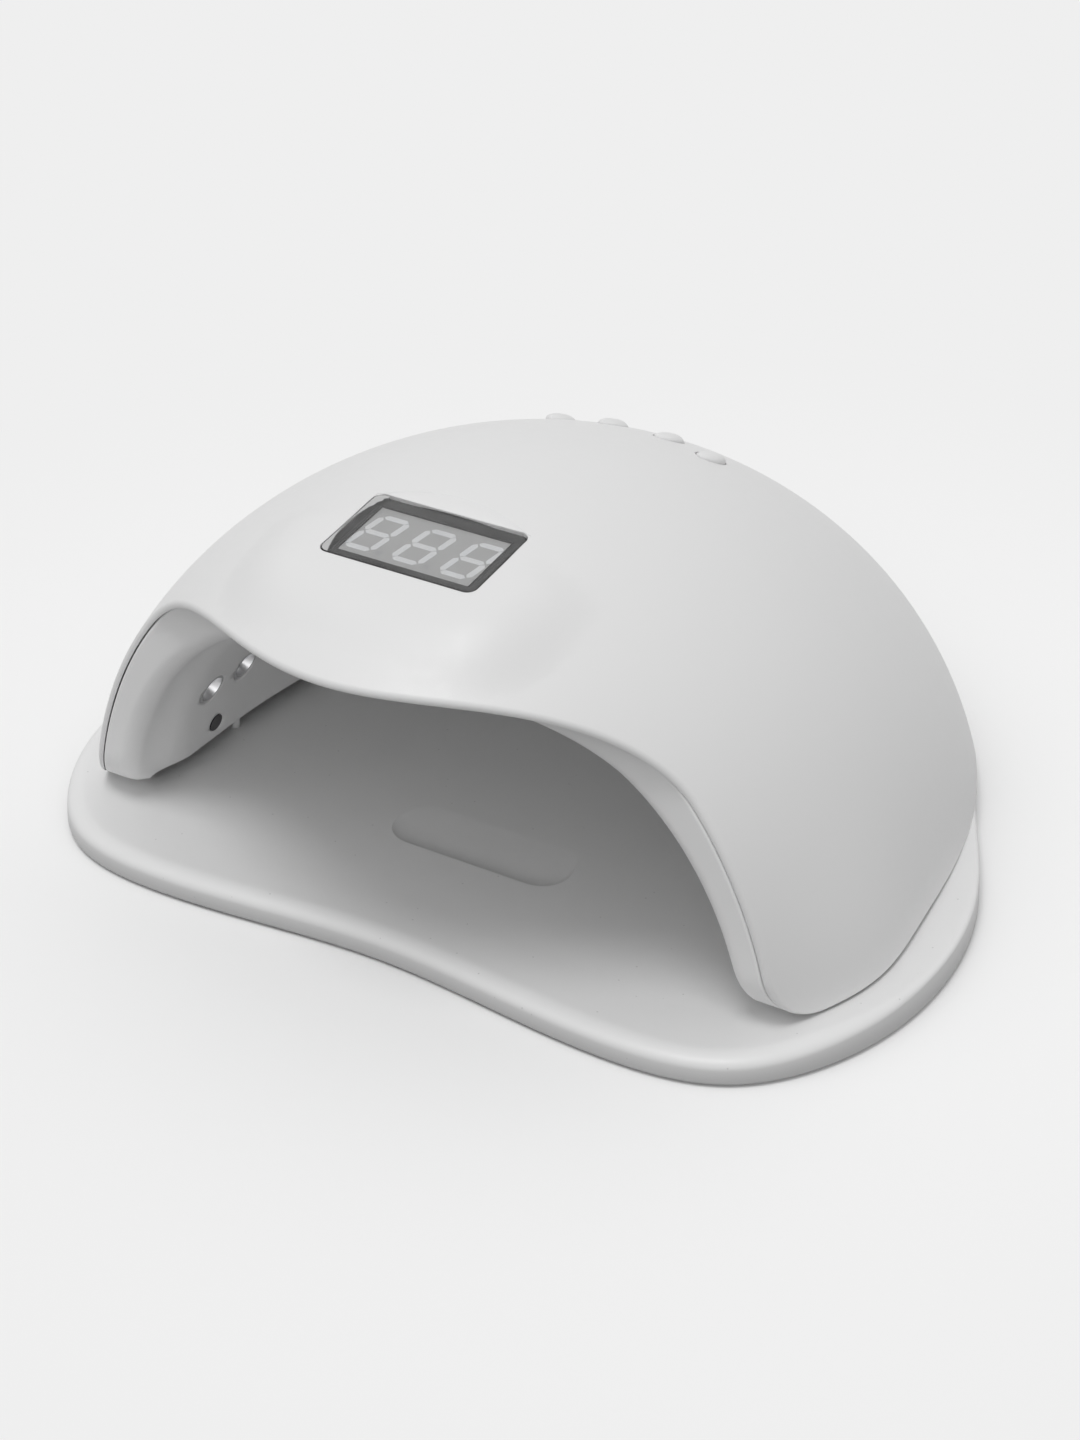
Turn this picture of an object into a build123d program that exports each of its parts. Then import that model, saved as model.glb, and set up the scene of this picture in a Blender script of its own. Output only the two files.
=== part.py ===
from build123d import *
import math
import os

# Curing lamp: a domed lamp head that stands on a flat, removable base tray.
# Millimetres. X runs across, -Y is the open front, +Z is up. The origin is on the
# table, under the middle of the lamp.

# ------------------------------------------------------------------ base tray
foot_proud = 0.5            # how far the rubber feet hold the tray off the table
tray_height = 5.5           # tray, from its underside to its top face
tray_wall = 2.4             # side wall of the tray moulding
tray_skin = 2.0             # top skin of the tray moulding
tray_cover_thickness = 1.5
tray_edge_radius = 2.6      # rounding of the tray's top edge
tray_front_y = -92.4        # front edge at the middle
tray_back_y = 109.7
tray_half_width = 118.0     # widest point of the tray
hollow_width = 53.0         # shallow hollow in the tray's top face
hollow_length = 30.0        # its floor rises to the top face over this length
hollow_depth = 1.4          # at its front edge
hollow_front_y = -54.4
hollow_corner = 6.0
cover_clearance = 0.2
tray_foot_radius = 6.0
tray_foot_pocket = 0.8
keeper_thickness = 1.0      # steel discs that the magnets of the head pull on
keeper_radius = 5.0
tray_screw_skin = 0.8       # left over the screw holes under the tray's top face
tray_screw_gap = 0.2        # from the tip of a tray screw to the end of its hole
low_head_height = 0.8       # of the flat-headed screws in the tray and the liner
hollow_skin = 1.6           # of the tray under the hollow's floor
hollow_margin = 2.0         # the thicker skin reaches this far round the hollow
hollow_run = 1.5            # the cutter of the hollow runs on past where it meets the top face

# ------------------------------------------------------------------ lamp head
head_gap = 1.6              # gap between the tray and the lamp head
shell_wall = 2.5
dome_half_width = 106.8     # the dome is an ellipsoid, tilted down to the back
dome_half_length = 137.7
dome_half_height = 106.5
dome_tilt = 25.2            # degrees
dome_y = -17.15
dome_z = -8.65
flare_out = 4.5             # the front feet of the dome swell out a little
flare_y = -50.2
flare_reach_y = 24.0
flare_reach_z = 26.0
front_face_y = -77.5        # upright stretch of the front opening's edge, from the side
front_corner_radius = 13.4  # the front edge curves back to the base
lip_front_y = -109.7        # tip of the lip over the opening
lip_arc_z = 60.0            # where the upright edge starts to curve out to the lip
lip_rise = 26.0
lip_overrun = 1.5           # the lip's curve runs on past its tip by this much
front_groove = 0.9          # the liner's face sits this far behind the shell's edge

# ------------------------------------------------------------------ liner
liner_wall = 2.0
liner_clearance = 0.3       # between the liner's rim and the inside of the dome
tunnel_half_width = 84.6    # hand cavity: a blunt arch, closed at the back
tunnel_height = 72.0
tunnel_z = -2.0
tunnel_bend_y = -37.0       # behind this the cavity draws in to its back end
tunnel_back_y = 78.0
mouth_flare = 6.0           # the mouth of the cavity opens by this much, in a soft bend
mouth_depth = 9.0
mouth_lead = 4.0
mouth_overlap = 2.0         # the mouth's cone runs on this far inside the cavity's wall

# ------------------------------------------------------------------ lights and sensor
led_count_side = 6
led_count_high = 4
led_pitch = 14.0
led_first_y = -51.0
led_low_z = 29.5
led_high_z = 51.0
led_high_first_y = -47.0
led_high_pitch = 18.0
led_ceiling_x = 12.0
led_ceiling_y = (-45.0, 3.0)
cup_radius = 4.4            # outside of a reflector cup
cup_depth = 4.6
cup_wall = 0.7
cup_throat_radius = 2.0
led_chip_size = 3.2
led_chip_thickness = 0.6
led_chip_play = 0.3         # between a chip's corners and the throat of its cup
star_radius = 7.0           # round aluminium board behind each light
star_thickness = 1.6
sensor_y = -45.0
sensor_z = 15.0
sensor_radius = 2.4
sensor_length = 7.0
sensor_proud = 0.2          # its lens stands this far out of the wall
sensor_collar_reach = 0.7
sensor_collar_gap = 0.2
sensor_collar_thickness = 1.2
part_clearance = 0.15       # between small parts and the holes they stand in

# ------------------------------------------------------------------ display
display_y = -67.0           # middle of the display window
display_z = 100.0
display_tilt = 7.0          # degrees, down to the front
window_width = 41.4
window_length = 25.0
window_corner = 2.5
lens_thickness = 0.8
gasket_thickness = 0.5      # the shell's ledge under the window is as thick
gasket_border = 1.0         # the gasket reaches this far past the module's sides
display_room_depth = 3.0    # room for the module through the shell, below the ledge
window_rim = 1.5            # the shell is thickened this far round the window
film_thickness = 0.1
film_margin = 0.3           # of the window left bare round the film
brow_length = 4.2           # crescent cut behind the window
module_width = 37.8
module_length = 19.0
module_height = 8.0
module_face_width = 34.8
module_face_length = 18.0
digit_pitch = 12.7
digit_height = 14.2
digit_width = 6.9           # between the middles of the upright bars
point_gap = 1.2             # from the last upright bar to the decimal point
digit_slant = 10.0          # degrees
segment_width = 1.6
segment_thickness = 0.2
segment_gap = 0.4           # between the tips of two bars
display_board_width = 56.0
display_board_length = 26.0
board_thickness = 1.6
board_hole_margin = 4.0     # from a board's edges to the middle of a screw hole

# ------------------------------------------------------------------ buttons
button_inner_x = 8.0
button_inner_y = 30.2
button_outer_x = 21.5
button_outer_y = 27.2
button_length = 12.0
button_width = 7.0
button_proud = 2.2
button_travel = 0.5
button_clearance = 0.3
button_rounding = 0.8
flange_reach = 1.1          # from the cap's side to the flange's edge
button_flange = 0.8         # flange under the shell that keeps the cap in
flange_drop = 2.8           # from the inside of the shell at the cap's middle to its flange
key_depth = 13.0            # from the dome's surface to the face of the key board
key_board_width = 66.0
key_board_length = 18.0
key_hole_margin = 3.2
switch_size = 6.0
switch_height = 3.4
stem_radius = 1.7
stem_depth = 0.6            # of the stem's foot in the switch, at rest
stem_play = 0.1             # left under the stem when its key is pressed

# ------------------------------------------------------------------ driver board and inlet
driver_width = 62.0
driver_length = 46.0
driver_y = -28.0
driver_z = 80.0
driver_hole_margin = 5.0
driver_post_root = 16.0     # how far below the cavity's top the posts start
driver_pilot_depth = 5.0
driver_screw_grip = 4.5     # length of a driver board screw in its post
chip_size = (9.0, 7.0, 1.6)         # across, along, height
coil_size = 9.0
coil_corner = 1.5
coil_height = 4.5
coil_pitch = 15.0
coil_y = -12.0              # on the board, from its middle
capacitor_radius = 3.5
capacitor_height = 9.0
capacitor_x = 14.0
capacitor_y = 12.0
buzzer_radius = 5.0
buzzer_height = 5.0
buzzer_x = -21.0
socket_size = (8.0, 5.0, 4.5)
socket_places = ((0.0, 17.0), (20.0, -3.0))
inlet_face_y = 96.5         # flat floor of the pocket that the inlet's flange sits in
inlet_z = 19.0
inlet_pocket_radius = 6.6
inlet_pocket_wall = 2.0
inlet_flange_radius = 5.9
inlet_flange_thickness = 1.6
inlet_barrel_radius = 4.0
inlet_barrel_length = 11.0
inlet_bore_radius = 2.75
inlet_pin_radius = 1.05
inlet_nut_radius = 5.6
inlet_nut_thickness = 2.0
inlet_nut_play = 0.05
inlet_back_wall = 2.0       # of the barrel, behind the bore
inlet_pin_set_back = 0.8    # from the flange's seat to the tip of the pin

# ------------------------------------------------------------------ fasteners and feet of the head
post_radius = 3.4
post_pilot_radius = 1.1
screw_radius = 1.3
screw_head_radius = 2.5
screw_head_height = 1.6
liner_screw_length = 12.0
liner_screw_gap = 1.0       # from the tip of a liner screw to the end of its hole
board_screw_length = 6.0
screw_angles = (-10, 28, 72)        # around the base ring, degrees from +X to the back
pad_angles = (2, 56)
magnet_angles = (14, 42)
pad_radius = 3.2
pad_pocket = 0.8
magnet_radius = 5.0
magnet_thickness = 2.0
magnet_cup_wall = 1.2
magnet_play = 0.1           # between a magnet and its cup
cut_through = 20.0          # how far posts and cutters run on to be sure to pass the shell
boss_radius = 2.6

# ------------------------------------------------------------------ worked out from the sizes
tray_bottom = foot_proud
tray_top = tray_bottom + tray_height
head_bottom = tray_top + head_gap
liner_inset = shell_wall + liner_clearance
lip_arc_y = lip_front_y - lip_overrun
lip_reach = front_face_y - lip_arc_y
PARTS = {}


def keep(name, *solids):
    """Store a node: one solid, or a group of separate solids."""
    found = [piece for solid in solids for piece in solid.solids()]
    PARTS[name] = found[0] if len(found) == 1 else Compound(children=found)


def on_plane(plane, shape, low, high):
    """Extrude a flat shape along the plane's normal, from low to high."""
    return plane.offset(low) * extrude(shape, amount=high - low)


# ------------------------------------------------------------------ the dome's surface
def dome_flare(y, z):
    along = (y - flare_y) / flare_reach_y
    up = max(z - head_bottom, 0) / flare_reach_z
    return flare_out * math.exp(-along ** 2 - up ** 2)


def dome_field(x, y, z, inset=0.0):
    """Below 1 inside the dome's surface moved in by inset, above 1 outside it."""
    tilt = math.radians(dome_tilt)
    along = math.cos(tilt) * (y - dome_y) - math.sin(tilt) * (z - dome_z)
    up = math.sin(tilt) * (y - dome_y) + math.cos(tilt) * (z - dome_z)
    across = x / (dome_half_width - inset + dome_flare(y, z))
    return across ** 2 + (along / (dome_half_length - inset)) ** 2 + (up / (dome_half_height - inset)) ** 2


def dome_point(profile_angle, side_angle, inset):
    tilt = math.radians(dome_tilt)
    belt = math.cos(side_angle)
    along = -(dome_half_length - inset) * math.cos(profile_angle) * belt
    up = (dome_half_height - inset) * math.sin(profile_angle) * belt
    y = math.cos(tilt) * along + math.sin(tilt) * up + dome_y
    z = -math.sin(tilt) * along + math.cos(tilt) * up + dome_z
    return Vector((dome_half_width - inset + dome_flare(y, z)) * math.sin(side_angle), y, z)


def dome_surface(inset):
    rows = []
    for row in range(29):
        profile_angle = math.radians(-40 + 260 * row / 28)
        sides = [math.radians(-85 + 170 * column / 24) for column in range(25)]
        rows.append([dome_point(profile_angle, side, inset) for side in sides])
    return Face.make_surface_from_array_of_points(rows, tol=0.02)


def part_inside(block, surface, probe):
    """The part of a block, cut by the surface, that holds the probe point."""
    halves = split(block, bisect_by=surface, keep=Keep.BOTH)
    return [solid for solid in halves.solids() if solid.is_inside(Vector(*probe))][0]


def dome_solid(inset, bottom):
    """Everything inside the dome moved in by inset, down to the bottom."""
    length = 2 * (dome_half_length + 30)
    block = Pos(0, dome_y, bottom) * Box(
        3 * dome_half_width, length, 1.5 * dome_half_height, align=(Align.CENTER, Align.CENTER, Align.MIN)
    )
    return part_inside(block, dome_surface(inset), (0, dome_y, head_bottom + 20))


def crossing(field, start, end):
    """The point between start (inside) and end (outside) where the field passes 1."""
    low, high = 0.0, 1.0
    for _ in range(50):
        middle = (low + high) / 2
        point = [a + (b - a) * middle for a, b in zip(start, end)]
        if field(*point) < 1:
            low = middle
        else:
            high = middle
    return [a + (b - a) * low for a, b in zip(start, end)]


def outward(field, point):
    """Unit normal of the surface where the field is 1."""
    step = 0.01
    slopes = []
    for axis in range(3):
        ahead, behind = list(point), list(point)
        ahead[axis] += step
        behind[axis] -= step
        slopes.append(field(*ahead) - field(*behind))
    return Vector(*slopes).normalized()


def dome_plane(x, y):
    """A plane on the dome's surface over (x, y): Z points out, X runs across."""
    point = crossing(dome_field, (x, y, dome_z), (x, y, dome_z + 2 * dome_half_height))
    normal = outward(dome_field, point)
    across = Vector(1, 0, 0)
    return Plane(origin=point, x_dir=across - normal * across.dot(normal), z_dir=normal)


# ------------------------------------------------------------------ the cavity's surface
SIDE_POWER = 3.0        # how square the arch is across
RISE_POWER = 1.8        # how square the arch is upwards


def mouth_growth(y):
    """How far the mouth has opened at y: it starts to open just ahead of the face."""
    share = (y - front_face_y + mouth_lead) / (mouth_depth + mouth_lead)
    return mouth_flare * (1 - min(max(share, 0), 1))


def tunnel_field(x, y, z, outset=0.0):
    """Below 1 inside the hand cavity moved out by outset, above 1 outside it."""
    grown = outset + mouth_growth(y)
    across = abs(x) / (tunnel_half_width + grown)
    up = (z - tunnel_z) / (tunnel_height + grown)
    back = max(y - tunnel_bend_y, 0) / (tunnel_back_y - tunnel_bend_y + outset)
    return across ** SIDE_POWER + math.hypot(up, back) ** RISE_POWER


def arch_height(side):
    """Share of the arch's height at a share of its half width."""
    return (1 - abs(side) ** SIDE_POWER) ** (1 / RISE_POWER)


def arch(y, outset):
    """The cavity's cross-section at y, as a face that reaches below the head."""
    half_width, height = tunnel_half_width + outset, tunnel_height + outset
    sides = [math.cos(math.pi * step / 16) for step in range(17)]
    points = [(side * half_width, tunnel_z + arch_height(side) * height) for side in sides]
    curve = Spline(points, tangents=[(0, 1), (0, -1)])
    face = make_face(Curve() + [curve, Line(points[-1], points[0])])
    return Plane(origin=(0, y, 0), x_dir=(1, 0, 0), z_dir=(0, -1, 0)) * face


def cavity_end(outset):
    """The closed back end of the cavity, behind the bend."""
    rows = []
    for row in range(33):
        angle = math.radians(-40 + 160 * row / 32)
        points = []
        for column in range(49):
            side = math.cos(math.radians(5 + 170 * column / 48))
            back = arch_height(side) * math.sin(angle) * (tunnel_back_y - tunnel_bend_y + outset)
            up = arch_height(side) * math.cos(angle) * (tunnel_height + outset)
            points.append(Vector(side * (tunnel_half_width + outset), tunnel_bend_y + back, tunnel_z + up))
        rows.append(points)
    surface = Face.make_surface_from_array_of_points(rows, tol=0.02)
    length = tunnel_back_y - tunnel_bend_y + 60
    block = Pos(0, tunnel_bend_y, head_bottom - 1) * Box(
        3 * tunnel_half_width, length, 1.5 * tunnel_height, align=(Align.CENTER, Align.MIN, Align.MIN)
    )
    return part_inside(block, surface, (0, tunnel_bend_y + 10, head_bottom + 10))


def tunnel_solid(outset):
    """The hand cavity moved out by outset, open to the front."""
    lead_y, full_y = front_face_y - mouth_lead, front_face_y + mouth_depth
    end = cavity_end(outset)
    section = end.faces().sort_by(Axis.Y)[0]
    straight = extrude(section, amount=tunnel_bend_y - full_y + mouth_overlap, dir=(0, -1, 0))
    taper = mouth_flare / (mouth_depth + mouth_lead)
    narrow = arch(full_y + mouth_overlap, outset - taper * mouth_overlap)
    mouth = loft([arch(lead_y, outset + mouth_flare), narrow], ruled=True)
    ahead = extrude(arch(lead_y, outset + mouth_flare), amount=dome_half_length)
    return ahead + mouth + straight + end


def tunnel_plane(side, y, z):
    """A plane on the cavity's wall, at one side: Z points out of the cavity, X along it."""
    point = crossing(tunnel_field, (0, y, z), (side * 2 * tunnel_half_width, y, z))
    normal = outward(tunnel_field, point)
    along = Vector(0, 1, 0)
    return Plane(origin=point, x_dir=along - normal * along.dot(normal), z_dir=normal)


def ceiling_plane(x, y):
    point = crossing(tunnel_field, (x, y, 0), (x, y, 2 * tunnel_height))
    normal = outward(tunnel_field, point)
    along = Vector(0, 1, 0)
    return Plane(origin=point, x_dir=along - normal * along.dot(normal), z_dir=normal)


# ------------------------------------------------------------------ the front edge, seen from the side
def behind_front(setback, bottom):
    """Everything behind the front edge, as a block across the lamp."""
    face_y = front_face_y + setback
    corner = front_corner_radius - setback
    reach, rise = lip_reach + setback, lip_rise + setback
    top, back, ahead = 2 * dome_half_height, 2 * dome_half_length, lip_front_y - 60
    start = (face_y + corner, head_bottom + setback)
    upright = Polyline((back, top), (back, bottom), (start[0], bottom), start)
    foot = RadiusArc(start, (face_y, start[1] + corner), corner)
    edge = Line((face_y, start[1] + corner), (face_y, lip_arc_z))
    arc = EllipticalCenterArc((lip_arc_y, lip_arc_z), reach, rise, start_angle=0, arc_size=90)
    over = Polyline((lip_arc_y, lip_arc_z + rise), (ahead, lip_arc_z + rise), (ahead, top), (back, top))
    outline = make_face(Curve() + [upright, foot, edge, arc, over])
    return extrude(Plane.YZ * outline, amount=2 * dome_half_width, both=True)


# ------------------------------------------------------------------ places around the base ring
def ring_point(angle):
    """Middle of the ring between the cavity and the dome, at the foot of the head."""
    turn = math.radians(angle)
    reach = 3 * dome_half_width
    far = (reach * math.cos(turn), tunnel_bend_y + reach * math.sin(turn), head_bottom)
    middle = (0, tunnel_bend_y, head_bottom)
    inner = crossing(lambda x, y, z: tunnel_field(x, y, z, liner_wall), middle, far)
    outer = crossing(lambda x, y, z: dome_field(x, y, z, shell_wall), middle, far)
    return (inner[0] + outer[0]) / 2, (inner[1] + outer[1]) / 2


def ring_places(angles):
    places = [ring_point(angle) for angle in angles]
    return places + [(-x, y) for x, y in places]


def upright_cylinder(place, bottom, top, radius):
    x, y = place
    return Pos(x, y, bottom) * Cylinder(radius, top - bottom, align=(Align.CENTER, Align.CENTER, Align.MIN))


# ------------------------------------------------------------------ base tray
def tray_edge():
    """The tray's edge from above: two lobes at the front corners, a round back."""
    right = [
        (0, tray_front_y),
        (0.26 * tray_half_width, tray_front_y - 2.2),
        (0.53 * tray_half_width, tray_front_y - 4.6),
        (0.78 * tray_half_width, tray_front_y + 1.2),
        (0.94 * tray_half_width, tray_front_y + 24),
        (tray_half_width, tray_front_y + 55),
        (0.965 * tray_half_width, tray_front_y + 86),
        (0.84 * tray_half_width, 26),
        (0.64 * tray_half_width, tray_back_y - 40),
        (0.34 * tray_half_width, tray_back_y - 9.5),
        (0, tray_back_y),
    ]
    left = [(-x, y) for x, y in reversed(right[1:-1])]
    return Spline(right + left, periodic=True)


def tray_outline(inset=0.0):
    """The tray's outline moved in by inset."""
    edge = tray_edge()
    if not inset:
        return make_face(edge)
    points = []
    for step in range(48):
        tangent = edge.tangent_at(step / 48)
        points.append(edge.position_at(step / 48) + Vector(-tangent.Y, tangent.X) * inset)
    return make_face(Spline(points, periodic=True))


def tray_foot_places():
    front, back = tray_front_y + 26, tray_back_y - 46
    return [(x, y) for x, y in ((82, front), (-82, front), (58, back), (-58, back))]


def tray_screw_places():
    places = [(44, tray_front_y + 18), (66, -10), (36, tray_back_y - 22)]
    return places + [(-x, y) for x, y in places]


def make_base():
    body = Pos(0, 0, tray_bottom) * extrude(tray_outline(), amount=tray_height)
    body = fillet(body.edges().group_by(Axis.Z)[-1], tray_edge_radius)
    body -= Pos(0, 0, tray_bottom) * extrude(tray_outline(tray_wall), amount=tray_height - tray_skin)
    slope = math.atan2(hollow_depth, hollow_length)
    floor = Plane(
        origin=(0, hollow_front_y, tray_top - hollow_depth),
        x_dir=(1, 0, 0),
        z_dir=(0, -math.sin(slope), math.cos(slope)),
    )
    reach = hollow_run * hollow_length
    under = RectangleRounded(
        hollow_width + 2 * hollow_margin, reach + 2 * hollow_margin, hollow_corner + hollow_margin
    )
    inside_tray = on_plane(Plane.XY, tray_outline(2 * tray_wall), tray_bottom, tray_top)
    body += on_plane(floor, Pos(0, reach / 2) * under, -hollow_skin, 0) & inside_tray
    opening = RectangleRounded(hollow_width, reach, hollow_corner)
    body -= on_plane(floor, Pos(0, reach / 2) * opening, 0, tray_height)
    cover_top = tray_bottom + tray_cover_thickness
    for place in tray_screw_places():
        body += upright_cylinder(place, cover_top, tray_top - tray_skin, boss_radius)
        body -= upright_cylinder(place, cover_top, tray_top - tray_screw_skin, post_pilot_radius)
    keep("base_tray", body)

    outline = tray_outline(tray_wall + cover_clearance)
    cover = Pos(0, 0, tray_bottom) * extrude(outline, amount=tray_cover_thickness)
    feet, screws = [], []
    for place in tray_foot_places():
        foot_top = tray_bottom + tray_foot_pocket
        cover -= upright_cylinder(place, tray_bottom, foot_top, tray_foot_radius + part_clearance)
        feet.append(upright_cylinder(place, 0, foot_top, tray_foot_radius))
    for place in tray_screw_places():
        head_top = tray_bottom + low_head_height
        cover -= upright_cylinder(place, tray_bottom, head_top, screw_head_radius + part_clearance)
        cover -= upright_cylinder(place, tray_bottom, cover_top, screw_radius + part_clearance)
        head = upright_cylinder(place, tray_bottom, head_top, screw_head_radius)
        tip = tray_top - tray_screw_skin - tray_screw_gap
        shank = upright_cylinder(place, tray_bottom, tip, post_pilot_radius)
        screws.append(head + shank)
    keep("base_cover", cover)
    keep("base_feet", *feet)
    keep("base_screws", *screws)
    keepers = [
        upright_cylinder(place, tray_top - tray_skin - keeper_thickness, tray_top - tray_skin, keeper_radius)
        for place in ring_places(magnet_angles)
    ]
    keep("magnet_keepers", *keepers)


# ------------------------------------------------------------------ window and display
def window_plane():
    return Plane(
        origin=(0, display_y, display_z),
        x_dir=(1, 0, 0),
        z_dir=(0, -math.sin(math.radians(display_tilt)), math.cos(math.radians(display_tilt))),
    )


def window_outline(grow=0.0):
    return RectangleRounded(window_width + 2 * grow, window_length + 2 * grow, window_corner + grow)


def gasket_outline(grow=0.0):
    reach = 2 * (gasket_border + grow)
    return Rectangle(module_width + reach, module_length + reach + gasket_border)


def brow_outline():
    """The crescent cut behind the window, with the window's back edge as its chord."""
    half, edge = window_width / 2, window_length / 2 - window_corner
    arc = ThreePointArc((-half, edge), (0, window_length / 2 + brow_length), (half, edge))
    return make_face(Curve() + [arc, Line((half, edge), (-half, edge))])


def display_post_places():
    x, y = display_board_width / 2 - board_hole_margin, display_board_length / 2 - board_hole_margin
    return [(x, y), (-x, y), (x, -y), (-x, -y)]


def segment_bar(length):
    """One bar of a digit, with pointed ends."""
    half, tip = length / 2, segment_width / 2
    upper = [(-half, 0), (-half + tip, tip), (half - tip, tip), (half, 0)]
    return make_face(Polyline(upper + [(half - tip, -tip), (-half + tip, -tip), (-half, 0)]))


def digit_segments(centre_x):
    """Seven bars and a point, slanted to the right."""
    across, up = digit_width, (digit_height - segment_width) / 2
    lean = math.tan(math.radians(digit_slant))
    bars = []
    for y in (-up, 0, up):
        bars.append(Pos(centre_x + y * lean, y) * segment_bar(across - segment_gap))
    for x in (-across / 2, across / 2):
        for y in (-up / 2, up / 2):
            upright = Rot(0, 0, 90 - digit_slant) * segment_bar(up - segment_gap)
            bars.append(Pos(centre_x + x + y * lean, y) * upright)
    bars.append(Pos(centre_x + across / 2 + point_gap, -up) * Circle(segment_width / 2))
    return bars


def make_display():
    plane = window_plane()
    lens_bottom = -lens_thickness
    lens = on_plane(plane, window_outline(-part_clearance), lens_bottom, 0)
    keep("display_window", lens)
    film = on_plane(plane, window_outline(-part_clearance - film_margin), 0, film_thickness)
    keep("window_film", film)
    face = lens_bottom - gasket_thickness
    gasket = gasket_outline() - Rectangle(module_face_width, module_face_length)
    keep("display_gasket", on_plane(plane, gasket, face, lens_bottom))
    module_top = face
    module = on_plane(plane, Rectangle(module_width, module_length), module_top - module_height, module_top)
    marks = [bar for digit in (-1, 0, 1) for bar in digit_segments(digit * digit_pitch)]
    bars = [on_plane(plane, mark, module_top - segment_thickness, module_top) for mark in marks]
    for bar in bars:
        module -= bar
    keep("display_module", module)
    keep("display_segments", *bars)
    board_top = module_top - module_height
    outline = Rectangle(display_board_width, display_board_length)
    board = on_plane(plane, outline, board_top - board_thickness, board_top)
    screws = []
    for x, y in display_post_places():
        board -= on_plane(plane, Pos(x, y) * Circle(screw_radius), board_top - board_thickness, board_top)
        screws.append(board_screw(plane, (x, y), board_top))
    keep("display_board", board)
    keep("display_board_screws", *screws)
    return board_top


def board_screw(plane, place, board_top):
    """A screw from under a board up into its post."""
    x, y = place
    under = board_top - board_thickness
    head_end = under - screw_head_height
    head = on_plane(plane, Pos(x, y) * Circle(screw_head_radius), head_end, under)
    shank = on_plane(plane, Pos(x, y) * Circle(post_pilot_radius), head_end, under + board_screw_length)
    return head + shank


# ------------------------------------------------------------------ buttons
BUTTONS = {
    "10s": (-button_outer_x, button_outer_y),
    "30s": (-button_inner_x, button_inner_y),
    "60s": (button_inner_x, button_inner_y),
    "99s": (button_outer_x, button_outer_y),
}


def leaf(length, width):
    """A pointed oval, as two arcs."""
    half, side = length / 2, width / 2
    return make_face(
        Curve()
        + [ThreePointArc((0, -half), (side, 0), (0, half)), ThreePointArc((0, half), (-side, 0), (0, -half))]
    )


def key_board_plane():
    """Face of the key board: level across, along the dome's slope at the buttons."""
    mean_y = (button_inner_y + button_outer_y) / 2
    surface = dome_plane(0, mean_y)
    return surface.offset(-key_depth)


def button_plane(name):
    """Where a button stands: on the key board's normal, at the dome's surface."""
    board = key_board_plane()
    x, y = BUTTONS[name]
    seat = dome_plane(x, y).origin
    local = board.to_local_coords(seat)
    return board.shift_origin(board.from_local_coords(Vector(local.X, local.Y, 0))), local.Z


def make_buttons():
    board = key_board_plane()
    switches = []
    for name in BUTTONS:
        plane, rise = button_plane(name)
        top = rise + button_proud
        flange_top = rise - shell_wall - flange_drop
        cap = on_plane(plane, leaf(button_length, button_width), flange_top - button_flange, top)
        cap = fillet(cap.faces().sort_by(Axis(plane.origin, plane.z_dir))[-1].edges(), button_rounding)
        flange = leaf(button_length + 2 * flange_reach, button_width + 2 * flange_reach)
        cap += on_plane(plane, flange, flange_top - button_flange, flange_top)
        keep(f"button_{name}", cap)
        stem_bottom = switch_height - stem_depth
        stem = on_plane(plane, Circle(stem_radius), stem_bottom, flange_top - button_flange)
        keep(f"switch_stem_{name}", stem)
        body = on_plane(plane, Rectangle(switch_size, switch_size), 0, switch_height)
        well_floor = stem_bottom - button_travel - stem_play
        body -= on_plane(plane, Circle(stem_radius + part_clearance), well_floor, switch_height)
        switches.append(body)
    keep("key_switches", *switches)
    outline = Rectangle(key_board_width, key_board_length)
    key_board = on_plane(board, outline, -board_thickness, 0)
    screws = []
    for x, y in key_post_places():
        key_board -= on_plane(board, Pos(x, y) * Circle(screw_radius), -board_thickness, 0)
        screws.append(board_screw(board, (x, y), 0))
    keep("key_board", key_board)
    keep("key_board_screws", *screws)


def key_post_places():
    x, y = key_board_width / 2 - key_hole_margin, key_board_length / 2 - key_hole_margin
    return [(x, -y), (-x, -y), (0, -y)]


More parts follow.
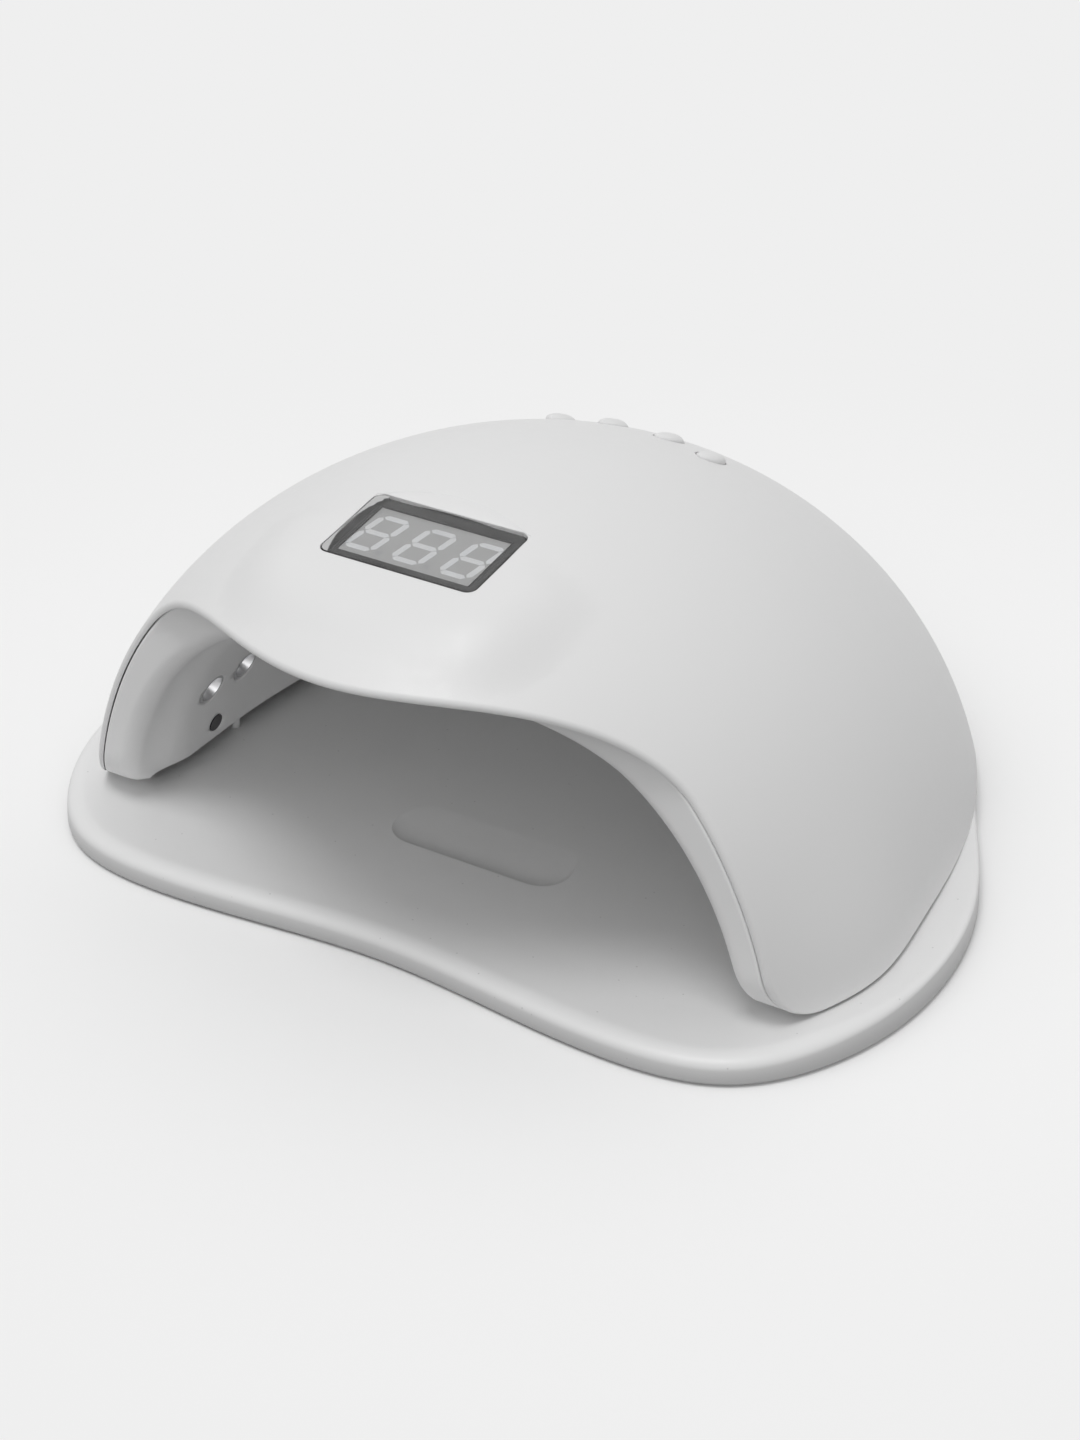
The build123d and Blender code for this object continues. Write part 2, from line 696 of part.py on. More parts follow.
# ------------------------------------------------------------------ upper shell
def make_shell():
    outer = dome_solid(0, head_bottom)
    shell = outer - dome_solid(shell_wall, head_bottom - 1)

    plane = window_plane()
    rim = on_plane(plane, window_outline(window_rim), -lens_thickness - gasket_thickness, cut_through)
    shell += rim & outer
    shell -= on_plane(plane, window_outline(), -lens_thickness, cut_through)
    shell -= on_plane(plane, brow_outline(), 0, cut_through)
    room_floor = -lens_thickness - gasket_thickness - display_room_depth
    shell -= on_plane(plane, gasket_outline(part_clearance), room_floor, 0)
    board_top = -lens_thickness - gasket_thickness - module_height
    post = Circle(boss_radius)
    posts = [on_plane(plane, Pos(x, y) * post, board_top, cut_through) for x, y in display_post_places()]

    board = key_board_plane()
    posts += [on_plane(board, Pos(x, y) * post, 0, cut_through) for x, y in key_post_places()]
    for place in ring_places(screw_angles):
        posts.append(upright_cylinder(place, head_bottom + liner_wall, 1.2 * dome_half_height, post_radius))
    back_wall = Plane(origin=(0, inlet_face_y, inlet_z), x_dir=(1, 0, 0), z_dir=(0, 1, 0))
    posts.append(on_plane(back_wall, Circle(inlet_pocket_radius + inlet_pocket_wall), -shell_wall, cut_through))
    for post in posts:
        shell += post & outer

    pilot = Circle(post_pilot_radius)
    for x, y in display_post_places():
        shell -= on_plane(plane, Pos(x, y) * pilot, board_top, board_top + board_screw_length)
    for x, y in key_post_places():
        shell -= on_plane(board, Pos(x, y) * pilot, 0, board_screw_length)
    pilot_end = head_bottom + liner_wall + liner_screw_length
    for place in ring_places(screw_angles):
        shell -= upright_cylinder(place, head_bottom, pilot_end, post_pilot_radius)
    for name in BUTTONS:
        seat, rise = button_plane(name)
        hole = leaf(button_length + 2 * button_clearance, button_width + 2 * button_clearance)
        shell -= on_plane(seat, hole, rise - shell_wall - flange_drop, rise + cut_through)
    shell -= on_plane(back_wall, Circle(inlet_pocket_radius), 0, cut_through)
    shell -= on_plane(back_wall, Circle(inlet_barrel_radius + part_clearance), -2 * shell_wall, shell_wall)
    shell &= behind_front(0, head_bottom - cut_through)
    keep("upper_shell", shell)


# ------------------------------------------------------------------ liner
def led_planes():
    """Where the lights sit: two rows on each side wall and four in the ceiling."""
    planes = []
    for side in (-1, 1):
        for step in range(led_count_side):
            planes.append(tunnel_plane(side, led_first_y + step * led_pitch, led_low_z))
        for step in range(led_count_high):
            planes.append(tunnel_plane(side, led_high_first_y + step * led_high_pitch, led_high_z))
        for y in led_ceiling_y:
            planes.append(ceiling_plane(side * led_ceiling_x, y))
    return planes


def sensor_planes():
    return [tunnel_plane(side, sensor_y, sensor_z) for side in (-1, 1)]


def make_liner():
    block = dome_solid(liner_inset, head_bottom) & behind_front(front_groove, head_bottom - cut_through)
    core = behind_front(front_groove + liner_wall, head_bottom) & (
        Pos(0, 0, head_bottom + liner_wall)
        * Box(
            3 * dome_half_width, 4 * dome_half_length, 2 * dome_half_height,
            align=(Align.CENTER, Align.CENTER, Align.MIN),
        )
    )
    liner = (block - core) + (tunnel_solid(liner_wall) & block)
    for place in ring_places(magnet_angles):
        liner += upright_cylinder(
            place, head_bottom, head_bottom + liner_wall + magnet_thickness, magnet_radius + magnet_cup_wall
        )
    for x, y in driver_post_places():
        liner += upright_cylinder((x, driver_y + y), tunnel_height - driver_post_root, driver_z, boss_radius)
    liner -= tunnel_solid(0)
    for x, y in driver_post_places():
        liner -= upright_cylinder((x, driver_y + y), driver_z - driver_pilot_depth, driver_z, post_pilot_radius)
    for plane in led_planes():
        liner -= on_plane(plane, Circle(cup_radius + part_clearance), -liner_wall, 1.5 * liner_wall)
    for plane in sensor_planes():
        liner -= on_plane(plane, Circle(sensor_radius + part_clearance), -liner_wall, 1.5 * liner_wall)
    for place in ring_places(screw_angles):
        liner -= upright_cylinder(place, head_bottom, head_bottom + liner_wall, screw_radius + part_clearance)
        head_top = head_bottom + low_head_height
        liner -= upright_cylinder(place, head_bottom, head_top, screw_head_radius + part_clearance)
    magnet_seat, magnet_top = head_bottom + liner_wall, head_bottom + liner_wall + magnet_thickness
    for place in ring_places(magnet_angles):
        liner -= upright_cylinder(place, magnet_seat, magnet_top, magnet_radius + magnet_play)
    for place in ring_places(pad_angles):
        liner -= upright_cylinder(place, head_bottom, head_bottom + pad_pocket, pad_radius + part_clearance)
    keep("inner_liner", liner)


def make_liner_fittings():
    screws, pads, magnets = [], [], []
    for place in ring_places(screw_angles):
        head = upright_cylinder(place, head_bottom, head_bottom + low_head_height, screw_head_radius)
        tip = head_bottom + liner_wall + liner_screw_length - liner_screw_gap
        shank = upright_cylinder(place, head_bottom, tip, post_pilot_radius)
        screws.append(head + shank)
    for place in ring_places(pad_angles):
        pads.append(upright_cylinder(place, tray_top, head_bottom + pad_pocket, pad_radius))
    for place in ring_places(magnet_angles):
        bottom = head_bottom + liner_wall
        magnets.append(upright_cylinder(place, bottom, bottom + magnet_thickness, magnet_radius))
    keep("liner_screws", *screws)
    keep("head_pads", *pads)
    keep("head_magnets", *magnets)


# ------------------------------------------------------------------ lights and sensor
def reflector_cup(plane):
    """A flared ring, open at the cavity, with the light chip in its throat."""
    outside = [(cup_throat_radius + cup_wall, cup_depth), (cup_radius, cup_depth), (cup_radius, 0)]
    inside = [(cup_radius - cup_wall, 0), (cup_throat_radius, cup_depth)]
    profile = make_face(Polyline([(cup_throat_radius, cup_depth)] + outside + inside))
    ring = revolve(Plane.XZ * profile, Axis.Z)
    return plane * ring


def make_lights():
    cups, chips, stars = [], [], []
    for plane in led_planes():
        cups.append(reflector_cup(plane))
        chip = Rectangle(led_chip_size, led_chip_size)
        chip_bottom = cup_depth - led_chip_thickness
        chips.append(on_plane(plane, Circle(cup_throat_radius - led_chip_play) & chip, chip_bottom, cup_depth))
        stars.append(on_plane(plane, Circle(star_radius), cup_depth, cup_depth + star_thickness))
    keep("reflector_cups", *cups)
    keep("led_chips", *chips)
    keep("led_boards", *stars)
    left, right = sensor_planes()
    for name, plane in (("sensor_receiver", left), ("sensor_emitter", right)):
        body = on_plane(plane, Circle(sensor_radius), -sensor_proud, sensor_length)
        collar = Circle(sensor_radius + sensor_collar_reach)
        collar_seat = liner_wall + sensor_collar_gap
        body += on_plane(plane, collar, collar_seat, collar_seat + sensor_collar_thickness)
        keep(name, body)


# ------------------------------------------------------------------ driver board and inlet
def driver_post_places():
    """The driver board's screws, from the board's middle."""
    x, y = driver_width / 2 - driver_hole_margin, driver_length / 2 - driver_hole_margin
    return [(x, y), (-x, y), (x, -y), (-x, -y)]


def make_driver():
    plane = Plane(origin=(0, driver_y, driver_z), x_dir=(1, 0, 0), z_dir=(0, 0, 1))
    top = board_thickness
    board = on_plane(plane, Rectangle(driver_width, driver_length), 0, top)
    head_top = top + screw_head_height
    screws = []
    for x, y in driver_post_places():
        board -= on_plane(plane, Pos(x, y) * Circle(screw_radius), 0, top)
        head = on_plane(plane, Pos(x, y) * Circle(screw_head_radius), top, head_top)
        shank = on_plane(plane, Pos(x, y) * Circle(post_pilot_radius), -driver_screw_grip, head_top)
        screws.append(head + shank)
    keep("driver_board", board)
    keep("driver_board_screws", *screws)
    across, along, height = chip_size
    keep("driver_chip", on_plane(plane, Rectangle(across, along), top, top + height))
    coil = RectangleRounded(coil_size, coil_size, coil_corner)
    coils = [Pos(side * coil_pitch, coil_y) * coil for side in (-1, 0, 1)]
    keep("driver_coils", *[on_plane(plane, place, top, top + coil_height) for place in coils])
    can = Circle(capacitor_radius)
    cans = [Pos(side * capacitor_x, capacitor_y) * can for side in (-1, 1)]
    keep("driver_capacitors", *[on_plane(plane, place, top, top + capacitor_height) for place in cans])
    keep("buzzer", on_plane(plane, Pos(buzzer_x, 0) * Circle(buzzer_radius), top, top + buzzer_height))
    across, along, height = socket_size
    middle, side = [Pos(*place) for place in socket_places]
    sockets = [middle * Rectangle(across, along), side * Rectangle(along, across)]
    keep("driver_sockets", *[on_plane(plane, socket, top, top + height) for socket in sockets])


def make_inlet():
    plane = Plane(origin=(0, inlet_face_y, inlet_z), x_dir=(1, 0, 0), z_dir=(0, 1, 0))
    body = on_plane(plane, Circle(inlet_flange_radius), 0, inlet_flange_thickness)
    body += on_plane(plane, Circle(inlet_barrel_radius), -inlet_barrel_length, 0)
    bore_floor = inlet_back_wall - inlet_barrel_length
    body -= on_plane(plane, Circle(inlet_bore_radius), bore_floor, inlet_flange_thickness)
    keep("power_inlet", body)
    keep("inlet_pin", on_plane(plane, Circle(inlet_pin_radius), bore_floor, -inlet_pin_set_back))
    nut = RegularPolygon(inlet_nut_radius, 6) - Circle(inlet_barrel_radius + inlet_nut_play)
    keep("inlet_nut", on_plane(plane, nut, -shell_wall - inlet_nut_thickness, -shell_wall))


# ------------------------------------------------------------------ build and write
def build():
    make_base()
    make_shell()
    make_liner()
    make_liner_fittings()
    make_lights()
    make_display()
    make_buttons()
    make_driver()
    make_inlet()


build()
os.makedirs("parts", exist_ok=True)
for name, shape in PARTS.items():
    export_step(shape, f"parts/{name}.step")
print(len(PARTS), "nodes")
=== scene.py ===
import math

import bpy
import numpy
from mathutils import Matrix, Vector


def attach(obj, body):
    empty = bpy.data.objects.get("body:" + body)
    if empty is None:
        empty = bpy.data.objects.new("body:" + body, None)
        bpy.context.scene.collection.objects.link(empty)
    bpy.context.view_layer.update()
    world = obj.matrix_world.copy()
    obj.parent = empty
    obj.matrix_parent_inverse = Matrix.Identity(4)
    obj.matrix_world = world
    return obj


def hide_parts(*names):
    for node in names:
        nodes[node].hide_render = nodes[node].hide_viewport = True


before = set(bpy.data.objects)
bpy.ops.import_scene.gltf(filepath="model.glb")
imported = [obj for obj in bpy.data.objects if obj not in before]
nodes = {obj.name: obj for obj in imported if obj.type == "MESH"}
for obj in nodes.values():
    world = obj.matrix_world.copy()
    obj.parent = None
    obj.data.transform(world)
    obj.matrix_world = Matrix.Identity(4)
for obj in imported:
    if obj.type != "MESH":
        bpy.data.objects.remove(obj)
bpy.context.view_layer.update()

scene = bpy.context.scene
scene.view_settings.view_transform = "Standard"
bpy.ops.object.select_all(action="DESELECT")


# ------------ camera
# Looks down at the lamp's front from its right side, as one stands at a table.
CAMERA_PLACE = (0.310197, -0.515139, 0.390997)  # metres
CAMERA_TURN, CAMERA_HEIGHT, CAMERA_ROLL = 32.029, 31.828, -0.783  # degrees
CAMERA_LENS = 69.27
camera_data = bpy.data.cameras.new("camera")
camera_data.lens = CAMERA_LENS
camera_data.clip_start = 0.05
camera = bpy.data.objects.new("camera", camera_data)
scene.collection.objects.link(camera)
scene.camera = camera
camera.matrix_world = (
    Matrix.Translation(CAMERA_PLACE)
    @ Matrix.Rotation(math.radians(CAMERA_TURN), 4, "Z")
    @ Matrix.Rotation(math.radians(90 - CAMERA_HEIGHT), 4, "X")
    @ Matrix.Rotation(math.radians(CAMERA_ROLL), 4, "Z")
)


# ------------ finishes
# The moulded, printed and metal surfaces of the lamp are each one finish: a material that is built
# from its nodes. A wire is one value in a node tree, and sums and products of wires are nodes too.
class Wire:
    def __init__(self, finish, socket):
        self.finish = finish
        self.socket = socket

    def __add__(self, other):
        return self.finish.maths("ADD", self, other)

    def __sub__(self, other):
        return self.finish.maths("SUBTRACT", self, other)

    def __rsub__(self, other):
        return self.finish.maths("SUBTRACT", other, self)

    def __mul__(self, other):
        return self.finish.maths("MULTIPLY", self, other)

    def __truediv__(self, other):
        return self.finish.maths("DIVIDE", self, other)


class Finish:
    def __init__(self, name, **constants):
        self.material = bpy.data.materials.new(name)
        self.material.use_nodes = True
        self.tree = self.material.node_tree
        self.shader = self.tree.nodes["Principled BSDF"]
        for socket, value in constants.items():
            self.shader.inputs[socket.replace("_", " ")].default_value = value

    def node(self, kind, sockets=None, output=0, stops=None, **settings):
        """Add a node: its settings first, then the values or links of its sockets."""
        made = self.tree.nodes.new("ShaderNode" + kind)
        for setting, value in settings.items():
            setattr(made, setting, value)
        if stops:
            while len(made.color_ramp.elements) < len(stops):
                made.color_ramp.elements.new(0.5)
            for element, (place, level) in zip(made.color_ramp.elements, stops):
                element.position = place
                element.color = (level, level, level, 1)
        for socket, value in (sockets or {}).items():
            self.feed(made.inputs[socket], value)
        return Wire(self, made.outputs[output])

    def feed(self, socket, value):
        if isinstance(value, Wire):
            self.tree.links.new(value.socket, socket)
        else:
            socket.default_value = value

    def maths(self, operation, first, second):
        return self.node("Math", {0: first, 1: second}, operation=operation)

    def place(self):
        """Object coordinates in millimetres."""
        coordinates = self.node("TexCoord", output="Object")
        return self.node("VectorMath", {0: coordinates, "Scale": 1000.0}, operation="SCALE")

    def noise(self, place, scale, detail=2.0):
        return self.node("TexNoise", {"Vector": place, "Scale": scale, "Detail": detail}, output="Fac")

    def ramp(self, factor, *stops):
        return self.node("ValToRGB", {0: factor}, stops=stops)

    def mix(self, factor, first, second):
        colours = [(*one, 1) if isinstance(one, tuple) else one for one in (first, second)]
        return self.node("MixRGB", {0: factor, 1: colours[0], 2: colours[1]})

    def bump(self, height, strength, distance, rounding=None):
        """Let the light see the height of the surface, and round its sharp edges."""
        sockets = {"Height": height, "Strength": strength, "Distance": distance}
        if rounding:
            sockets["Normal"] = self.node("Bevel", {"Radius": rounding}, samples=6)
        self.feed(self.shader.inputs["Normal"], self.node("Bump", sockets))

    def paint(self, colour, roughness, height, strength, distance, rounding=None):
        """Join the colour, the roughness and the height of the surface to the shader."""
        self.feed(self.shader.inputs["Base Color"], colour)
        self.feed(self.shader.inputs["Roughness"], roughness)
        self.bump(height, strength, distance, rounding)
        return self.material

    def overlay(self, factor, under, over=None):
        """Mix two shaders, the second of them the finish's own where none is given."""
        own = Wire(self, self.shader.outputs[0])
        return self.node("MixShader", {0: factor, 1: under or own, 2: over or own})

    def show(self, surface, output="Material Output"):
        self.feed(self.tree.nodes[output].inputs["Surface"], surface)


def finish_node(material, *names):
    """Give CAD nodes a finish."""
    for name in names:
        nodes[name].data.materials.clear()
        nodes[name].data.materials.append(material)


# ------------ studio
# A pale table top that fades into a plain background, a soft overhead lamp and an even room light.
BACKGROUND = (0.863, 0.863, 0.863, 1)
FLOOR_BOUNCE, FLOOR_SEEN = (0.24,) * 3, (0.95,) * 3  # its colour to the light, and as it is seen
FLOOR_FADE = (0.10, 0.28)  # metres from the middle, where the table turns plain
FLOOR_RADIUS, FLOOR_LEVEL = 6, -0.0001  # metres
ROOM_LEVELS = (0.54, 0.62)  # at the horizon and overhead
LAMPS = (  # name, turn and height in degrees, strength, width in degrees
    ("overhead", -4, 76, 0.88, 22),
    ("left", -45, 60, 0.16, 50),
    ("right", 25, 24, 0.24, 40),
)


def plainly_seen(finish):
    """1 where a ray shows something: to the camera, in a gloss, or through a clear sheet."""
    kinds = ("Camera", "Glossy", "Transmission")
    rays = [finish.node("LightPath", output=f"Is {kind} Ray") for kind in kinds]
    return finish.maths("MAXIMUM", finish.maths("MAXIMUM", rays[0], rays[1]), rays[2])


floor_finish = Finish("floor", Roughness=0.9, Specular_IOR_Level=0.0)
watched = plainly_seen(floor_finish)
shade = floor_finish.mix(watched, FLOOR_BOUNCE, FLOOR_SEEN)
floor_finish.feed(floor_finish.shader.inputs["Base Color"], shade)
place = floor_finish.node("TexCoord", output="Object")
far = floor_finish.node("VectorMath", {0: place}, output="Value", operation="LENGTH")
fade = floor_finish.node(
    "MapRange", {"Value": far, "From Min": FLOOR_FADE[0], "From Max": FLOOR_FADE[1]},
    interpolation_type="SMOOTHSTEP"
)
glow = floor_finish.node("Emission", {"Color": BACKGROUND, "Strength": 1.0})
floor_finish.show(floor_finish.overlay(fade * watched, None, glow))
bpy.ops.mesh.primitive_circle_add(
    vertices=96, radius=FLOOR_RADIUS, fill_type="NGON", location=(0, 0, FLOOR_LEVEL)
)
floor = bpy.context.object
floor.name = "floor"
floor.data.materials.append(floor_finish.material)


class Room(Finish):
    """The light all round the lamp, which has a node tree as a finish has."""
    def __init__(self, world):
        world.use_nodes = True
        self.tree = world.node_tree


scene.world = bpy.data.worlds.new("room")
room = Room(scene.world)
height = room.node("SeparateXYZ", {0: room.node("TexCoord", output="Generated")}, output="Z")
level = room.node("MapRange", {"Value": height, "To Min": ROOM_LEVELS[0], "To Max": ROOM_LEVELS[1]})
even = room.node("Background", {"Color": (1, 1, 1, 1), "Strength": level})
plain = room.node("Background", {"Color": BACKGROUND, "Strength": 1.0})
room.show(room.node("MixShader", {0: plainly_seen(room), 1: even, 2: plain}), "World Output")

for name, turn, height, strength, width in LAMPS:
    lamp_data = bpy.data.lights.new(name, "SUN")
    lamp_data.energy = strength
    lamp_data.angle = math.radians(width)
    lamp = bpy.data.objects.new(name, lamp_data)
    scene.collection.objects.link(lamp)
    lamp.rotation_euler = (math.radians(90 - height), 0, math.radians(turn))


# ------------ moulded white plastic
# The shell, liner, tray and keys are white ABS with a fine satin texture from the mould. The tray lies on
# the table and has a few specks of dust;
# its colour is also painted a little darker low down, as painted shade on its wall and roll.
def darker(colour, share):
    return tuple(value * share for value in colour)


def moulded_plastic(name, colour, roughness, dust_and_painted_shade=False):
    finish = Finish(name, IOR=1.5)
    place = finish.place()
    broad = finish.noise(place, 0.016, 3.0)
    fine = finish.noise(place, 2.6, 3.0)
    swirl = finish.noise(place, 0.35, 4.0)
    shade = finish.mix(broad, colour, darker(colour, 0.965))
    if dust_and_painted_shade:
        specks = finish.node("TexVoronoi", {"Vector": place, "Scale": 0.22}, output="Distance", feature="F1")
        dust = finish.ramp(specks, (0.0, 1.0), (0.035, 1.0), (0.06, 0.0)) * 0.5
        shade = finish.mix(dust, shade, darker(colour, 0.55))
        # painted shade: the tray's colour turns darker below about 6 mm up, fully so under 2 mm, to darken
        # its wall and roll
        centimetres_up = finish.node("SeparateXYZ", {0: place}, output="Z") * 0.1
        painted_low_shade = finish.ramp(centimetres_up, (0.20, 1.0), (0.62, 0.0)) * 0.8
        shade = finish.mix(painted_low_shade, shade, darker(colour, 0.78))
    worn = finish.ramp(swirl, (0.35, 0.0), (0.7, 1.0))
    gloss = worn * 0.07 + fine * 0.04 + (roughness - 0.05)
    rounding = 0.0004 if dust_and_painted_shade else 0.0003
    return finish.paint(shade, gloss, fine + swirl * 0.6, 0.5, 0.00003, rounding)


shell_plastic = moulded_plastic("shell_plastic", (0.80, 0.80, 0.80), 0.42)
liner_plastic = moulded_plastic("liner_plastic", (0.86, 0.86, 0.86), 0.45)
tray_plastic = moulded_plastic("tray_plastic", (0.79, 0.79, 0.79), 0.40, dust_and_painted_shade=True)


# ------------ upper shell
# The dome is one thin moulding of white ABS, polished outside. Its wavy front edge rolls in softly,
# the keys and the display stand in openings cut through it, and a pocket at the back takes the inlet.
# Every size from here on is in millimetres.
DOME_SIZE = (106.8, 137.7, 106.5)  # half width, half length, half height
DOME_TILT = math.radians(25.2)
DOME_MIDDLE = (0.0, -17.15, -8.65)
FLARE_OUT, FLARE_Y, FLARE_LENGTH, FLARE_HEIGHT = 4.5, -50.2, 24, 26
HEAD_BOTTOM = 7.6
FACE_Y = -77.5  # upright stretch of the front edge
FRONT_CORNER = 13.4  # radius from there to the underside
LIP_START_Z = 60.0  # where it starts to curve out to the lip
LIP_REACH, LIP_RISE = 33.7, 26.0
SHELL_WALL = 2.5
FRONT_ROLL, BASE_ROLL = 1.5, 0.9  # rounding of the shell's edge
SEAT_DEPTH = 3.0  # of the step inside the edge that takes the liner's rim
CORNER_STEPS, UPRIGHT_STEPS = 12, 20  # along the front edge, before it is spaced evenly
LIP_STEPS, BASE_STEPS = 90, 120
HALVINGS = 40  # of a range that is searched for a point
SMALL_STEP = 0.01  # to each side, where a slope is measured


def dome_flare(y, z):
    """The front feet of the dome swell out a little."""
    up = max(z - HEAD_BOTTOM, 0) / FLARE_HEIGHT
    return FLARE_OUT * math.exp(-(((y - FLARE_Y) / FLARE_LENGTH) ** 2) - up ** 2)


def dome_parts(point, inset=0.0):
    """Where a point lies in the dome's own tilted frame: on the dome, a vector of length 1."""
    y, z = point[1] - DOME_MIDDLE[1], point[2] - DOME_MIDDLE[2]
    return Vector((
        point[0] / (DOME_SIZE[0] - inset + dome_flare(point[1], point[2])),
        (math.cos(DOME_TILT) * y - math.sin(DOME_TILT) * z) / (DOME_SIZE[1] - inset),
        (math.sin(DOME_TILT) * y + math.cos(DOME_TILT) * z) / (DOME_SIZE[2] - inset),
    ))


def dome_point(direction, inset=0.0):
    """The point of the dome that lies in a direction of its own tilted frame."""
    along, up = direction[1] * (DOME_SIZE[1] - inset), direction[2] * (DOME_SIZE[2] - inset)
    y = DOME_MIDDLE[1] + math.cos(DOME_TILT) * along + math.sin(DOME_TILT) * up
    z = DOME_MIDDLE[2] - math.sin(DOME_TILT) * along + math.cos(DOME_TILT) * up
    return Vector((direction[0] * (DOME_SIZE[0] - inset + dome_flare(y, z)), y, z))


def slope_of(field, point):
    """The direction in which a field of the point grows fastest."""
    slopes = []
    for axis in range(3):
        ahead, behind = Vector(point), Vector(point)
        ahead[axis] += SMALL_STEP
        behind[axis] -= SMALL_STEP
        slopes.append(field(ahead) - field(behind))
    return Vector(slopes).normalized()


def dome_normal(point):
    return slope_of(lambda place: dome_parts(place).length, point)


def last_inside(near, far, is_inside):
    """The last value or point that is inside, on the way from near to far."""
    for _ in range(HALVINGS):
        middle = (near + far) / 2
        if is_inside(middle):
            near = middle
        else:
            far = middle
    return near


def dome_width(y, z, inset):
    """Half the dome's width at a height and depth, or 0 past its edge."""
    parts = dome_parts((0, y, z), inset)
    return (DOME_SIZE[0] - inset + dome_flare(y, z)) * math.sqrt(max(1 - parts[1] ** 2 - parts[2] ** 2, 0))


def front_line(setback):
    """The front edge from the side, from the foot up to the lip, as (y, z)."""
    line = []
    front, foot, radius = FACE_Y + setback, HEAD_BOTTOM + setback, FRONT_CORNER - setback
    for step in range(CORNER_STEPS):
        turn = math.radians(90 * step / CORNER_STEPS)
        line.append((front + radius * (1 - math.sin(turn)), foot + radius * (1 - math.cos(turn))))
    corner_top = HEAD_BOTTOM + FRONT_CORNER
    for step in range(UPRIGHT_STEPS):
        line.append((front, corner_top + (LIP_START_Z - corner_top) * step / UPRIGHT_STEPS))
    return line


def lip_point(turn, setback):
    """On the curve that runs out from the upright edge to the lip's tip."""
    reach, rise = LIP_REACH + setback, LIP_RISE + setback
    return FACE_Y - LIP_REACH + reach * math.cos(turn), LIP_START_Z + rise * math.sin(turn)


def evenly(points, count):
    """The points of a line, spaced evenly along it."""
    lengths = [0.0]
    for first, second in zip(points, points[1:]):
        lengths.append(lengths[-1] + (second - first).length)
    spaced, at = [], 0
    for step in range(count):
        target = lengths[-1] * step / (count - 1)
        while at < len(points) - 2 and lengths[at + 1] < target:
            at += 1
        span = lengths[at + 1] - lengths[at]
        spaced.append(points[at].lerp(points[at + 1], (target - lengths[at]) / span if span else 0))
    return spaced


def shell_rim(inset, setback, front_count, base_count):
    """The dome's edge: up the right side of the front from the lip's tip, and round the base."""
    tip = last_inside(0.0, math.pi / 2, lambda turn: dome_width(*lip_point(turn, setback), inset) > 0)
    front = [lip_point(tip * (1 - (step / LIP_STEPS) ** 2), setback) for step in range(LIP_STEPS)]
    front += reversed(front_line(setback))
    front = [Vector((dome_width(y, z, inset), y, z)) for y, z in front]
    front[0].x = 0.0
    foot = front[-1]
    back = foot.y
    while dome_width(back, foot.z, inset) > 0:
        back += 0.02
    base = []
    for step in range(BASE_STEPS + 1):
        y = foot.y + (back - foot.y) * (1 - (1 - step / BASE_STEPS) ** 2)
        base.append(Vector((dome_width(y, foot.z, inset), y, foot.z)))
    base[-1].x = 0.0
    half = evenly(front, front_count) + evenly(base, base_count)[1:]
    return half + mirrored(half[1:-1])


def mirrored(points):
    """The same points on the other side, the last one first."""
    return [Vector((-point.x, point.y, point.z)) for point in reversed(points)]


def faces_between(rows, count, closed=True):
    """Faces between rows of points, which each close on themselves or are open at their ends."""
    faces = []
    for first in range(0, (rows - 1) * count, count):
        for step in range(count if closed else count - 1):
            after = (step + 1) % count
            faces.append((first + step, first + after, first + count + after, first + count + step))
    return faces


def add_mesh(name, rows, faces, material, body=None):
    """A new piece from rows of points in millimetres."""
    mesh = bpy.data.meshes.new(name)
    mesh.from_pydata([Vector(point) * 0.001 for row in rows for point in row], [], faces)
    piece = bpy.data.objects.new(name, mesh)
    scene.collection.objects.link(piece)
    mesh.materials.append(material)
    mesh.shade_smooth()
    if body:
        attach(piece, body)
    return piece


def use(piece):
    bpy.ops.object.select_all(action="DESELECT")
    piece.select_set(True)
    bpy.context.view_layer.objects.active = piece


def smooth_faces(piece, angle):
    """Shade a piece smooth but for the edges that turn by more than an angle in degrees."""
    use(piece)
    bpy.ops.object.shade_smooth_by_angle(angle=math.radians(angle))


def tidy_mesh(piece, distance=0.000002):
    """Merge doubles, nearer than a distance in metres, and turn the faces outwards."""
    use(piece)
    bpy.ops.object.mode_set(mode="EDIT")
    bpy.ops.mesh.select_all(action="SELECT")
    bpy.ops.mesh.remove_doubles(threshold=distance)
    bpy.ops.mesh.normals_make_consistent(inside=False)
    bpy.ops.object.mode_set(mode="OBJECT")


def cut(piece, *cutters):
    """Cut the shapes out of a piece and throw them away."""
    for cutter in cutters:
        use(piece)
        modifier = piece.modifiers.new("cut", "BOOLEAN")
        modifier.object = cutter
        modifier.operation = "DIFFERENCE"
        modifier.solver = "EXACT"
        bpy.ops.object.modifier_apply(modifier=modifier.name)
        bpy.data.objects.remove(cutter)


def prism(name, rings, material=shell_plastic, body=None, distance=0.000002):
    """A closed shape through rings of points that have the same count."""
    count = len(rings[0])
    last = (len(rings) - 1) * count
    faces = faces_between(len(rings), count)
    faces += [tuple(reversed(range(count))), tuple(range(last, last + count))]
    piece = add_mesh(name, rings, faces, material, body)
    tidy_mesh(piece, distance)
    return piece


WINDOW_SIZE, WINDOW_CORNER = (41.4, 25.0), 2.5
WINDOW_TILT = math.radians(7)
WINDOW_ORIGIN = Vector((0.0, -67.0, 100.0))
WINDOW_BACK = Vector((0.0, math.cos(WINDOW_TILT), math.sin(WINDOW_TILT)))
WINDOW_UP = Vector((0.0, -math.sin(WINDOW_TILT), math.cos(WINDOW_TILT)))


def on_window(x, y, z):
    """A point given across, back and up from the window's middle."""
    return WINDOW_ORIGIN + Vector((x, 0, 0)) + WINDOW_BACK * y + WINDOW_UP * z


def smooth(share):
    """A share from 0 to 1 that starts and ends gently."""
    share = min(max(share, 0), 1)
    return share * share * (3 - 2 * share)


